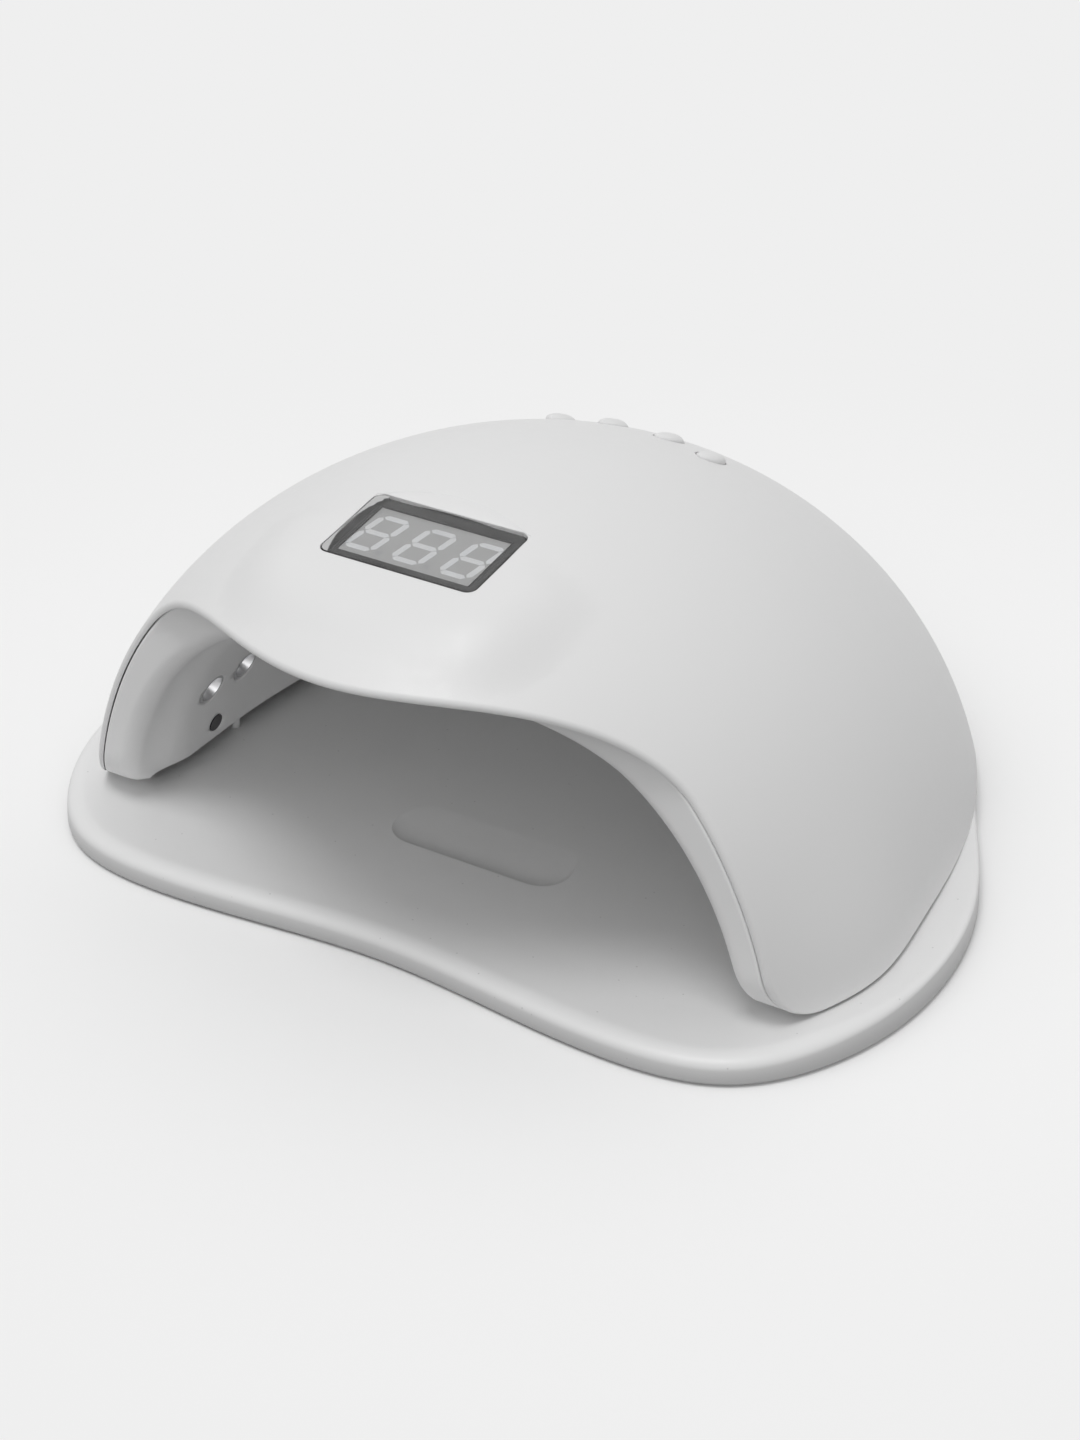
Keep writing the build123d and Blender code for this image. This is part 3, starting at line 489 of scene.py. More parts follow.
LEVEL_BESIDE = 24  # the levelling fades out this far beside the pane
LEVEL_BEHIND, LEVEL_FADE = 8, 10  # and behind the pane's middle, over this length


def beside_window(point):
    """The shell's surface is levelled round the window's front half, to meet its pane."""
    offset = point - WINDOW_ORIGIN
    ahead = -offset.dot(WINDOW_BACK)
    away = math.hypot(max(abs(point.x) - WINDOW_SIZE[0] / 2, 0), max(ahead - WINDOW_SIZE[1] / 2, 0))
    share = smooth(1 - away / LEVEL_BESIDE) * smooth((ahead + LEVEL_BEHIND) / LEVEL_FADE)
    return point - WINDOW_UP * offset.dot(WINDOW_UP) * share


rim = shell_rim(0.0, 0.0, 96, 104)
POLE_TILT = math.radians(20)  # back from upright: the rings of the dome's mesh close there
pole = Vector((0.0, math.sin(POLE_TILT), math.cos(POLE_TILT)))
edge = []  # start of the roll, its two directions and its radius
for step, point in enumerate(rim):
    tangent = (rim[(step + 1) % len(rim)] - rim[step - 1]).normalized()
    radius = BASE_ROLL + (FRONT_ROLL - BASE_ROLL) * smooth((point.z - HEAD_BOTTOM) / 8)
    outwards = tangent.cross(dome_normal(point)).normalized()
    if outwards.dot(point - Vector((0, 0, 40))) < 0:
        outwards = -outwards
    start = dome_point(dome_parts(point - outwards * radius).normalized())
    edge.append((start, outwards, dome_normal(start), radius))


def dome_ring(share, inset=0.0):
    """The edge, drawn in over the dome by a share of its way to the pole."""
    row = []
    for start, outwards, up, radius in edge:
        direction = dome_parts(start).normalized()
        polar = math.acos(max(min(direction.dot(pole), 1), -1)) * (1 - share)
        side = (direction - pole * direction.dot(pole)).normalized()
        row.append(dome_point(pole * math.cos(polar) + side * math.sin(polar), inset))
    return row


def edge_ring(ahead, deep):
    """The edge, moved outwards and into the wall by distances that follow from its radius."""
    return [start + outwards * ahead(radius) - up * deep(radius) for start, outwards, up, radius in edge]


RINGS, INNER_RINGS, ROLL_STEPS = 58, 20, 5
loops = [dome_ring(ring / INNER_RINGS, SHELL_WALL) for ring in range(INNER_RINGS - 1, 0, -1)]
loops.append(edge_ring(lambda radius: radius - SEAT_DEPTH, lambda radius: SHELL_WALL))
loops.append(edge_ring(lambda radius: radius - SEAT_DEPTH, lambda radius: radius))
for step in range(ROLL_STEPS, 0, -1):
    turn = math.radians(90 * step / ROLL_STEPS)
    loops.append(edge_ring(
        lambda radius: radius * math.sin(turn), lambda radius: radius * (1 - math.cos(turn))
    ))
for ring in range(RINGS):
    loops.append([beside_window(point) for point in dome_ring((ring / RINGS) ** 1.1)])
count = len(rim)
faces = faces_between(len(loops), count)
top = (len(loops) - 1) * count
inner_pole, outer_pole = top + count, top + count + 1
for step in range(count):
    after = (step + 1) % count
    faces.append((inner_pole, after, step))
    faces.append((outer_pole, top + step, top + after))
loops.append([dome_point(pole, SHELL_WALL), dome_point(pole)])
upper_shell = add_mesh("upper_shell_skin", loops, faces, shell_plastic, "lamp_head")
tidy_mesh(upper_shell, 0.00002)


def round_box(width, length, radius, steps=8):
    """A rectangle with round corners, from its right front corner round to the left."""
    outline = []
    for quarter, (side, end) in enumerate(((1, -1), (1, 1), (-1, 1), (-1, -1))):
        for step in range(steps + 1):
            turn = math.radians(-90 + 90 * quarter + 90 * step / steps)
            x, y = side * (width / 2 - radius), end * (length / 2 - radius)
            outline.append((x + radius * math.cos(turn), y + radius * math.sin(turn)))
    return outline


# the display's opening, and the crescent scooped out of the dome behind it
window_cutter = prism("window_cutter", [
    [on_window(x, y, level) for x, y in round_box(*WINDOW_SIZE, WINDOW_CORNER)] for level in (-12.0, 9.0)
])
SCOOP_HALF, SCOOP_FRONT, SCOOP_REACH, SCOOP_RISE = 20.6, 12.2, 4.3, 2.1
SCOOP_SINK, SCOOP_STEPS = 0.02, 40  # its floor lies this far below the pane's plane
scoop = []
for level in (-SCOOP_SINK, 0.5, 1.2, 2.2, 4.5):
    ring = []
    for step in range(SCOOP_STEPS + 1):
        x = SCOOP_HALF * math.cos(math.pi * step / SCOOP_STEPS)
        reach = SCOOP_REACH * (1 - (x / SCOOP_HALF) ** 2)
        height = SCOOP_RISE * (1 - 0.85 * (x / SCOOP_HALF) ** 2)
        run = min((level + SCOOP_SINK) / height, 2.2) ** 0.75
        ring.append(on_window(x, SCOOP_FRONT + reach * run, level))
    ring += [on_window(-SCOOP_HALF, 8.0, level), on_window(SCOOP_HALF, 8.0, level)]
    scoop.append(ring)
scoop_cutter = prism("scoop_cutter", scoop)

# the four openings for the keys
KEY_UP = Vector((0.0, 0.428613, 0.903488))
KEY_BACK = Vector((0.0, 0.903488, -0.428613))
KEYS = {"10s": (-21.5, 27.2), "30s": (-8.0, 30.2), "60s": (8.0, 30.2), "99s": (21.5, 27.2)}
KEY_HOLE = (12.6, 7.6)  # length and width


def dome_over(x, y):
    """The point of the dome straight above (x, y)."""
    return Vector((x, y, last_inside(0.0, 200.0, lambda z: dome_parts((x, y, z)).length < 1)))


def leaf(length, width, steps=20):
    """A pointed oval, as (across, along)."""
    half, side = length / 2, width / 2
    radius = (half ** 2 + side ** 2) / (2 * side)
    reach = math.asin(half / radius)
    outline = []
    for step in range(steps):
        turn = -reach + 2 * reach * step / steps
        outline.append((radius * math.cos(turn) - radius + side, radius * math.sin(turn)))
    return outline + [(-x, -y) for x, y in outline]


def leaf_on_key(seat, length, width, level):
    """A leaf that lies at a level above a key's seat on the dome."""
    return [seat + Vector((x, 0, 0)) + KEY_BACK * y + KEY_UP * level for x, y in leaf(length, width)]


key_cutters = [
    prism("key_cutter", [leaf_on_key(dome_over(x, y), *KEY_HOLE, level) for level in (-9.0, 9.0)])
    for x, y in KEYS.values()
]

# the pocket for the inlet at the back, with a round hole in its flat floor
INLET_Y, INLET_Z = 96.5, 19.0
POCKET_RADIUS, POCKET_OUTSIDE, INLET_HOLE, POCKET_FLOOR = 6.6, 8.4, 4.15, 2.5
POCKET_SINK = 0.6  # its rim stands this far below the dome's surface
BEHIND = 120.0  # well clear of the dome's back
around = [math.radians(360 * step / 64) for step in range(64)]
inlet_cutter = prism("inlet_cutter", [
    [(POCKET_RADIUS * math.cos(turn), y, INLET_Z + POCKET_RADIUS * math.sin(turn)) for turn in around]
    for y in (INLET_Y - 1, BEHIND)
])
cut(upper_shell, window_cutter, scoop_cutter, inlet_cutter, *key_cutters)
pocket_rings = []
for radius, y in (
    (INLET_HOLE, INLET_Y), (POCKET_RADIUS, INLET_Y), (POCKET_RADIUS, None), (POCKET_OUTSIDE, None),
    (POCKET_OUTSIDE, INLET_Y - POCKET_FLOOR), (INLET_HOLE, INLET_Y - POCKET_FLOOR), (INLET_HOLE, INLET_Y),
):
    ring = []
    for turn in around:
        x, z = radius * math.cos(turn), INLET_Z + radius * math.sin(turn)
        reach = y
        if y is None:
            reach = BEHIND
            while dome_parts((x, reach, z)).length > 1:
                reach -= 0.1
            reach -= POCKET_SINK
        ring.append((x, reach, z))
    pocket_rings.append(ring)
faces = faces_between(len(pocket_rings), len(around))
inlet_pocket = add_mesh("inlet_pocket", pocket_rings, faces, shell_plastic)
tidy_mesh(inlet_pocket)


def joined(pieces):
    """One object from several, which keeps the name of the first."""
    use(pieces[0])
    for piece in pieces[1:]:
        piece.select_set(True)
    bpy.ops.object.join()
    return pieces[0]


def shade_by(piece, true_normal):
    """Give the corners of a piece's faces their true direction, wherever true_normal knows one."""
    mesh = piece.data
    normals = [Vector(corner.vector) for corner in mesh.corner_normals]
    for face in mesh.polygons:
        for corner in face.loop_indices:
            point = mesh.vertices[mesh.loops[corner].vertex_index].co * 1000
            normals[corner] = true_normal(face, point) or normals[corner]
    mesh.normals_split_custom_set(normals)


def on_dome(face, point):
    if abs(dome_parts(point).length - 1) < 0.00035 and face.normal.dot(dome_normal(point)) > 0.9:
        return dome_normal(point)


# the dome is shaded by its true shape, so that the cuts through it leave no marks round them
upper_shell = joined([upper_shell, inlet_pocket])
smooth_faces(upper_shell, 32)
shade_by(upper_shell, on_dome)
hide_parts("upper_shell")


# ------------ inner liner
# One white moulding: a front face that follows the shell's edge, folds softly into the hand cavity,
# and a flat ring underneath that closes the head. The lights and the sensor look out through it.
CAVITY_WIDTH, CAVITY_HEIGHT, CAVITY_Z = 84.6, 72.0, -2.0
CAVITY_BEND_Y, CAVITY_DEPTH = -37.0, 115.0
FOLD_OUT, FOLD_DEEP = 4.2, 5.0  # of the soft fold from the front face into the cavity
MOUTH_FLARE = 2.4  # the cavity is this much wider just behind the fold
LINER_SET_IN, LINER_SET_BACK = 1.65, 0.3  # of the liner's front face in the shell's edge
RIM_ROUND = 0.5  # the front face is flat from this far inside its rim
FOOT_RAISE = 2.4  # the cavity's wall stops this far above the head's underside
LINER_WALL = 0.001  # metres


def liner_front(z):
    """Where the liner's front face lies at a height."""
    if z < HEAD_BOTTOM + FRONT_CORNER:
        below = HEAD_BOTTOM + FRONT_CORNER - max(z, HEAD_BOTTOM)
        return FACE_Y + LINER_SET_BACK + FRONT_CORNER - math.sqrt(FRONT_CORNER ** 2 - below ** 2)
    if z < LIP_START_Z:
        return FACE_Y + LINER_SET_BACK
    rise = min((z - LIP_START_Z) / (LIP_RISE + LINER_SET_BACK), 1.0)
    return FACE_Y - LIP_REACH + (LIP_REACH + LINER_SET_BACK) * math.sqrt(1 - rise ** 2)


def cavity_arch(outset=0.0, share=1.0, raised=1.0, count=129):
    """Across the cavity, foot to foot: (x, z, height as a share of the arch's own height)."""
    height = (CAVITY_HEIGHT + outset) * share
    foot = HEAD_BOTTOM + FOOT_RAISE * raised - CAVITY_Z
    start = math.acos((1 - min(foot / height, 1) ** 1.8) ** (1 / 3))
    line = []
    for step in range(count):
        side = math.cos(start + (math.pi - 2 * start) * step / (count - 1))
        rise = (1 - abs(side) ** 3) ** (1 / 1.8)
        line.append((side * (CAVITY_WIDTH + outset), CAVITY_Z + rise * height, rise))
    return line


def into_liner(z):
    """The direction into the liner's front face at a height, as (back, up)."""
    reach, full_rise = LIP_REACH + LINER_SET_BACK, LIP_RISE + LINER_SET_BACK
    rise = min(max(z - LIP_START_Z, 0) / full_rise, 1.0)
    return Vector((full_rise * math.sqrt(1 - rise ** 2), reach * rise)).normalized()


# the liner's rim, as angles round the foot line's middle and distances from it
SIDE_STEPS, TOP_STEPS = 100, 800
rim_heights = [HEAD_BOTTOM + (LIP_START_Z - HEAD_BOTTOM) * step / SIDE_STEPS for step in range(SIDE_STEPS)]
for step in range(TOP_STEPS + 1):
    rise = math.sin(math.radians(90 * step / TOP_STEPS))
    rim_heights.append(LIP_START_Z + (LIP_RISE + LINER_SET_BACK) * rise)
rim_line = []
for z in rim_heights:
    x = dome_width(liner_front(z), z, LINER_SET_IN)
    rim_line.append((math.atan2(z - HEAD_BOTTOM, x), math.hypot(x, z - HEAD_BOTTOM)))
    if x == 0:
        break


def rim_reach(x, z):
    """How far from the middle of the foot line the rim lies in the direction of (x, z)."""
    turn = math.atan2(z - HEAD_BOTTOM, abs(x))
    for (first, near), (second, far) in zip(rim_line, rim_line[1:]):
        if second >= turn:
            return near + (far - near) * (turn - first) / max(second - first, 1e-9)
    return rim_line[-1][1]


def move_out(x, z, reach):
    """The point in the direction of (x, z) that lies so far from the middle of the foot line."""
    near = math.hypot(x, z - HEAD_BOTTOM)
    return x * reach / near, HEAD_BOTTOM + (z - HEAD_BOTTOM) * reach / near


inner_arch = cavity_arch(FOLD_OUT + MOUTH_FLARE, raised=0.0)
liner_rows = []
for inwards, back in ((0.0, 1.2), (0.0, 0.8), (0.06, 0.45), (0.22, 0.15), (RIM_ROUND, 0.0)):
    row = []
    for x, z, rise in inner_arch:
        x, z = move_out(x, z, rim_reach(x, z) - inwards)
        deep = into_liner(z) * back
        row.append((x, liner_front(z) + deep[0], z + deep[1]))
    liner_rows.append(row)
FACE_STEPS, FOLD_STEPS, MOUTH_STEPS, DOME_STEPS = 12, 10, 16, 30
for step in range(1, FACE_STEPS + 1):
    row = []
    for x, z, rise in inner_arch:
        near = math.hypot(x, z - HEAD_BOTTOM)
        x, z = move_out(x, z, near + (rim_reach(x, z) - RIM_ROUND - near) * (1 - step / FACE_STEPS))
        row.append((x, liner_front(z), z))
    liner_rows.append(row)
for step in range(1, FOLD_STEPS + 1):
    turn = math.radians(90 * step / FOLD_STEPS)
    outset = FOLD_OUT * (1 - math.sin(turn)) + MOUTH_FLARE
    deep = FOLD_DEEP * (1 - math.cos(turn))
    liner_rows.append([
        (x, liner_front(z) + deep, z) for x, z, rise in cavity_arch(outset, raised=smooth((step - 2) / 8))
    ])
for step in range(1, MOUTH_STEPS + 1):
    share = step / MOUTH_STEPS
    liner_rows.append([
        (x, (liner_front(z) + FOLD_DEEP) * (1 - share) + CAVITY_BEND_Y * share, z)
        for x, z, rise in cavity_arch(MOUTH_FLARE * (1 - smooth(share / 0.4)))
    ])
last_turn = math.acos((HEAD_BOTTOM + FOOT_RAISE - CAVITY_Z) / CAVITY_HEIGHT)
for step in range(1, DOME_STEPS + 1):
    turn = 0.9999 * last_turn * step / DOME_STEPS
    liner_rows.append([
        (x, CAVITY_BEND_Y + rise * math.sin(turn) * CAVITY_DEPTH, z)
        for x, z, rise in cavity_arch(0.0, math.cos(turn))
    ])
faces = faces_between(len(liner_rows), len(inner_arch), closed=False)
inner_liner = add_mesh("inner_liner_skin", liner_rows, faces, liner_plastic, "lamp_head")
use(inner_liner)
solid = inner_liner.modifiers.new("wall", "SOLIDIFY")
solid.thickness = LINER_WALL
middle_face = inner_liner.data.polygons[len(faces) // 2]
solid.offset = math.copysign(1, middle_face.normal.dot(middle_face.center - Vector((0, -0.03, 0.02))))
bpy.ops.object.modifier_apply(modifier=solid.name)
tidy_mesh(inner_liner, 0.00002)
smooth_faces(inner_liner, 40)


def cavity_field(point):
    """Below 1 inside the cavity, and above 1 in the liner's wall."""
    back = max(point[1] - CAVITY_BEND_Y, 0) / CAVITY_DEPTH
    up = (point[2] - CAVITY_Z) / CAVITY_HEIGHT
    return (abs(point[0]) / CAVITY_WIDTH) ** 3 + math.hypot(up, back) ** 1.8


def cavity_wall(inside, outside):
    """The point of the cavity's wall between two points, and the direction out of the cavity there."""
    place = last_inside(Vector(inside), Vector(outside), lambda point: cavity_field(point) < 1)
    return place, slope_of(cavity_field, place)


def drill(place, direction, radius, painted_low_shade, high, sides=32):
    """A round cutter along a direction, from low to high."""
    across = direction.orthogonal().normalized()
    other = direction.cross(across)
    rings = []
    for level in (painted_low_shade, high):
        rings.append([
            place + direction * level + (across * math.cos(turn) + other * math.sin(turn)) * radius
            for turn in (math.radians(360 * step / sides) for step in range(sides))
        ])
    return prism("drill", rings)


# the holes of the lights and the sensor, through the cavity's wall
LIGHT_ROWS = ((29.5, -51.0, 14.0, 6), (51.0, -47.0, 18.0, 4))  # height, first place, spacing, count
CEILING_LIGHTS = ((12.0, -45.0), (12.0, 3.0))
SENSOR_Y, SENSOR_Z = -45.0, 15.0
LIGHT_HOLE, SENSOR_HOLE = 4.55, 2.55  # radii
OUTSIDE = 160  # well outside the head
holes = []
for side in (-1, 1):
    for z, first, spacing, number in LIGHT_ROWS:
        for y in (first + spacing * step for step in range(number)):
            holes.append((LIGHT_HOLE, (0, y, z), (side * OUTSIDE, y, z)))
    for x, y in CEILING_LIGHTS:
        holes.append((LIGHT_HOLE, (side * x, y, 0), (side * x, y, OUTSIDE)))
    holes.append((SENSOR_HOLE, (0, SENSOR_Y, SENSOR_Z), (side * OUTSIDE, SENSOR_Y, SENSOR_Z)))
cut(inner_liner, joined([
    drill(*cavity_wall(inside, outside), radius, -4, 4) for radius, inside, outside in holes
]))


def centres(node, apart=8.0):
    """The middles of a node's separate solids, seen from above, in millimetres."""
    groups = []
    for vertex in nodes[node].data.vertices:
        x, y = vertex.co.x * 1000, vertex.co.y * 1000
        for group in groups:
            if math.hypot(group[0][0] - x, group[0][1] - y) < apart:
                group.append((x, y))
                break
        else:
            groups.append([(x, y)])
    return [tuple((min(values) + max(values)) / 2 for values in zip(*group)) for group in groups]


# the ring under the head, from the foot of the cavity's wall to the shell: stepped up to the wall's
# raised foot, and cut back for the pads and the screws
RING_THICKNESS, RING_STEP, RING_COLUMNS = 1.9, 4.5, 110
PAD_HOLE, SCREW_HOLE, HOLE_DEPTH = 3.35, 2.65, 0.8
foot_line = [Vector(row[0]) for row in liner_rows[4:]]
foot_line[-1].x = 0.0
ring_inner = evenly(foot_line, RING_COLUMNS)
ring_step = []
for step, point in enumerate(ring_inner):
    along = (ring_inner[min(step + 1, RING_COLUMNS - 1)] - ring_inner[max(step - 1, 0)]).normalized()
    ring_step.append(point + Vector((along.y, -along.x, 0)) * RING_STEP * smooth(step / 12))
ring_step[-1].x = 0.0
ring_outer = []
y = foot_line[0].y
while dome_width(y, HEAD_BOTTOM, LINER_SET_IN) > 0:
    ring_outer.append(Vector((dome_width(y, HEAD_BOTTOM, LINER_SET_IN), y, 0)))
    y += 0.05
ring_outer[-1].x = 0.0
ring_outer = evenly(ring_outer, RING_COLUMNS)
for line in (ring_inner, ring_step, ring_outer):
    line += mirrored(line[:-1])


def at_level(line, z):
    return [Vector((point.x, point.y, z)) for point in line]


def lifted(line):
    return [point + Vector((0, 0, RING_THICKNESS)) for point in line]


rows = [
    ring_inner, ring_step, at_level(ring_step, HEAD_BOTTOM), at_level(ring_outer, HEAD_BOTTOM),
    at_level(ring_outer, HEAD_BOTTOM + RING_THICKNESS), lifted(ring_step), lifted(ring_inner), ring_inner,
]
count = len(ring_inner)
faces = faces_between(len(rows), count, closed=False)
faces += [tuple(row * count + end for row in range(len(rows) - 1)) for end in (0, count - 1)]
liner_ring = add_mesh("liner_ring", rows, faces, liner_plastic)
tidy_mesh(liner_ring, 0.00001)
up = Vector((0, 0, 1))
cut(liner_ring, joined([
    drill(Vector((x, y, HEAD_BOTTOM)), up, radius, -1, HOLE_DEPTH)
    for radius, node in ((PAD_HOLE, "head_pads"), (SCREW_HOLE, "liner_screws")) for x, y in centres(node)
]))
smooth_faces(liner_ring, 30)

# a short round nub hangs down behind each front foot, nearly to the tray
TRAY_BOTTOM, TRAY_TOP = 0.5, 6.0
NUB_X, NUB_Y, NUB_RADIUS, NUB_GAP = 85.9, -33.0, 1.3, 0.3
nubs = [
    drill(Vector((side * NUB_X, NUB_Y, 0)), up, NUB_RADIUS, TRAY_TOP + NUB_GAP, HEAD_BOTTOM + 4)
    for side in (-1, 1)
]
inner_liner = joined([inner_liner, liner_ring, *nubs])
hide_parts("inner_liner")


# ------------ base tray
# A flat white moulding that the head stands on: a crisp rounded rim at the back, a soft roll at the
# front, and a shallow hollow in its top whose floor rises to the back.
TRAY_EDGE = [
    (0, -92.4), (30.68, -94.6), (62.54, -97.0), (92.04, -91.2), (110.92, -68.4), (118.0, -37.4),
    (113.87, -6.4), (99.12, 26.0), (75.52, 69.7), (40.12, 100.2), (0, 109.7),
]
TRAY_EDGE += [(-x, y) for x, y in reversed(TRAY_EDGE[1:-1])]


def closed_line(points, steps):
    """A smooth closed line through the points, with its sideways direction at each step."""
    places = numpy.array(points, float)
    count = len(places)
    ahead = numpy.roll(places, -1, 0) - places
    spans = numpy.linalg.norm(ahead, axis=1)
    ahead /= spans[:, None]
    matrix = numpy.diag(2 * (numpy.roll(spans, 1) + spans))
    for index in range(count):
        matrix[index, index - 1] += spans[index - 1]
        matrix[index, (index + 1) % count] += spans[index]
    bends = numpy.linalg.solve(matrix, 6 * (ahead - numpy.roll(ahead, 1, 0)))
    line = []
    for index in range(count):
        span, after = spans[index], (index + 1) % count
        for step in range(steps):
            t = span * step / steps
            point = (bends[index] * (span - t) ** 3 + bends[after] * t ** 3) / (6 * span)
            point = point + (places[index] / span - bends[index] * span / 6) * (span - t)
            point = point + (places[after] / span - bends[after] * span / 6) * t
            line.append(Vector((*point, 0)))
    sideways = []
    for index, point in enumerate(line):
        along = (line[(index + 1) % len(line)] - line[index - 1]).normalized()
        sideways.append(Vector((-along.y, along.x, 0)))
    return line, sideways


TRAY_WALL, TRAY_DRAFT = 2.4, 0.25  # the side wall, and how far it leans in
TRAY_SKIN = 2.1  # the top's thickness, seen from below
RIM_RISE = (1.0, 2.0)  # of the rim above the top face: in front, and at the sides
RAMP_WIDTH, RAMP_STEPS = 20.0, 16  # the top face dips gently inside the rim
ROLL_FRONT, ROLL_BACK = (4.8, 2.8), (1.2, 1.0)  # width and height of the rim's roll
TRAY_ROLL_STEPS = 10
tray_line, tray_in = closed_line(TRAY_EDGE, 14)
tray_rings = []


def tray_ring(ring_point):
    """Add a ring to the tray's mesh: each point's inset from the edge and its level."""
    ring = []
    for point, inwards in zip(tray_line, tray_in):
        inset, level = ring_point(point)
        ring.append(point + inwards * inset + Vector((0, 0, level)))
    tray_rings.append(ring)


def rim_rise(point):
    """Most at the sides, less in front, none at the back."""
    share = smooth((point.y + 0.35 * abs(point.x) + 66) / 40)
    return (RIM_RISE[0] + (RIM_RISE[1] - RIM_RISE[0]) * share) * smooth((64 - point.y) / 40)


def rim_roll(point):
    """Soft at the front and crisp at the back."""
    share = smooth((point.y + 90) / 60)
    return [front + (back - front) * share for front, back in zip(ROLL_FRONT, ROLL_BACK)]


def on_roll(point, turn):
    width, height = rim_roll(point)
    level = TRAY_TOP + rim_rise(point) - height * (1 - math.sin(turn))
    return TRAY_DRAFT + width * (1 - math.cos(turn)), level


def on_ramp(point, share):
    width = rim_roll(point)[0]
    level = TRAY_TOP + rim_rise(point) * (1 - share) ** 1.4
    return TRAY_DRAFT + width + (RAMP_WIDTH - width) * share, level


tray_ring(lambda point: (TRAY_WALL, TRAY_TOP - TRAY_SKIN))
for inset, rise in ((TRAY_WALL, 0.0), (0.8, 0.0), (0.35, 0.12), (0.1, 0.5), (0.0, 1.0)):
    tray_ring(lambda point: (inset, TRAY_BOTTOM + rise))
for step in range(TRAY_ROLL_STEPS + 1):
    tray_ring(lambda point: on_roll(point, math.radians(90 * step / TRAY_ROLL_STEPS)))
for step in range(1, RAMP_STEPS + 1):
    tray_ring(lambda point: on_ramp(point, step / RAMP_STEPS))
tray_ring(lambda point: (RAMP_WIDTH + 1.2, TRAY_TOP))
base_tray = prism("base_tray_skin", tray_rings, tray_plastic, "base", 0.00001)

# the hollow: sharp in front, where it is deepest, and running out to nothing at the back
HOLLOW_SIZE, HOLLOW_CORNER, HOLLOW_FRONT, HOLLOW_DEPTH = (53.0, 45.0), 9.0, -54.4, 1.6
HOLLOW_RUN = 17.0  # its floor rises to the top face over this length
slope = math.atan2(HOLLOW_DEPTH, HOLLOW_RUN)
hollow = []
for level, shrink in ((0.0, 6.5), (0.08, 4.6), (0.3, 3.0), (0.65, 1.8), (1.1, 0.8), (1.6, 0.0), (5.0, 0.0)):
    ring = []
    for x, y in round_box(HOLLOW_SIZE[0] - 2 * shrink, HOLLOW_SIZE[1] - 2 * shrink, HOLLOW_CORNER - shrink):
        along = y + HOLLOW_SIZE[1] / 2
        ring.append((
            x, HOLLOW_FRONT + along * math.cos(slope) - level * math.sin(slope),
            TRAY_TOP - HOLLOW_DEPTH + along * math.sin(slope) + level
        ))
    hollow.append(ring)
cut(base_tray, prism("hollow_cutter", hollow))
smooth_faces(base_tray, 20)
shade_by(base_tray, lambda face, point: up if face.normal.z > 0.99999 else None)
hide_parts("base_tray")
finish_node(tray_plastic, "base_cover")


# ------------ keys
# Four leaf-shaped keys of the shell's own plastic, crowned on top, with a flange that keeps them in.
KEY_FLANGE, KEY_STEM = (14.4, 9.0), (12.0, 7.0)  # length and width
FLANGE_THICKNESS = 0.8
KEY_CROWN = (  # length, width and level of the rings over the key's top
    (11.9, 6.9, 0.1), (11.5, 6.55, 0.4), (10.6, 5.8, 0.75), (9.2, 4.8, 1.05), (7.2, 3.6, 1.28),
    (4.6, 2.2, 1.42), (2.0, 0.9, 1.48),
)
for seconds, (x, y) in KEYS.items():
    seat = dome_over(x, y)
    button = "button_" + seconds
    bottom = min((Vector(corner.co) * 1000 - seat).dot(KEY_UP) for corner in nodes[button].data.vertices)
    key = prism("key_" + seconds, [leaf_on_key(seat, *ring) for ring in (
        (*KEY_FLANGE, bottom), (*KEY_FLANGE, bottom + FLANGE_THICKNESS),
        (*KEY_STEM, bottom + FLANGE_THICKNESS), (*KEY_STEM, -0.2), *KEY_CROWN
    )], body="key_" + seconds)
    smooth_faces(key, 35)
    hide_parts(button)


# ------------ display
# Three milky digits in a grey face, in a black foam frame, under a clear window with its loose film.
def small_part(name, colour, roughness, metallic, uneven, grain, scale, coat=0.0):
    """A plain finish with a little unevenness in colour and gloss, and a fine grain."""
    finish = Finish(name, Metallic=metallic, Coat_Weight=coat)
    place = finish.place()
    cloud = finish.noise(place, scale * 0.25, 3.0)
    fine = finish.noise(place, scale * 2.5, 3.0)
    shade = finish.mix(cloud, colour, darker(colour, 1 - uneven))
    return finish.paint(shade, cloud * 0.1 + fine * 0.05 + (roughness - 0.07), fine, grain, 0.00003)


foam_black = small_part("foam_black", (0.034, 0.034, 0.034), 0.8, 0.0, 0.1, 0.8, 2.0)
FACE_LEVEL, GASKET_TOP = -1.3, -0.8  # below the pane's plane
GASKET_OUTSIDE = (*(size - 0.3 for size in WINDOW_SIZE), 2.4)  # width, length and corner
GASKET_OPENING = (35.0, 18.6, 0.2)


def on_display(outline, *levels):
    return [[on_window(x, y, level) for x, y in round_box(*outline)] for level in levels]


gasket = prism("gasket_skin", on_display(GASKET_OUTSIDE, FACE_LEVEL, GASKET_TOP), foam_black, "lamp_head")
cut(gasket, prism("gasket_cutter", on_display(GASKET_OPENING, -3.0, 2.0)))
smooth_faces(gasket, 30)
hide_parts("display_gasket")

face = Finish("display_face", IOR=1.45)
place = face.place()
cloud = face.noise(place, 0.5, 3.0)
fine = face.noise(place, 5.0, 2.0)
shade = face.mix(cloud, (0.40, 0.40, 0.40), (0.36, 0.36, 0.36))
finish_node(face.paint(shade, fine * 0.08 + 0.42, fine, 0.2, 0.00002), "display_module")

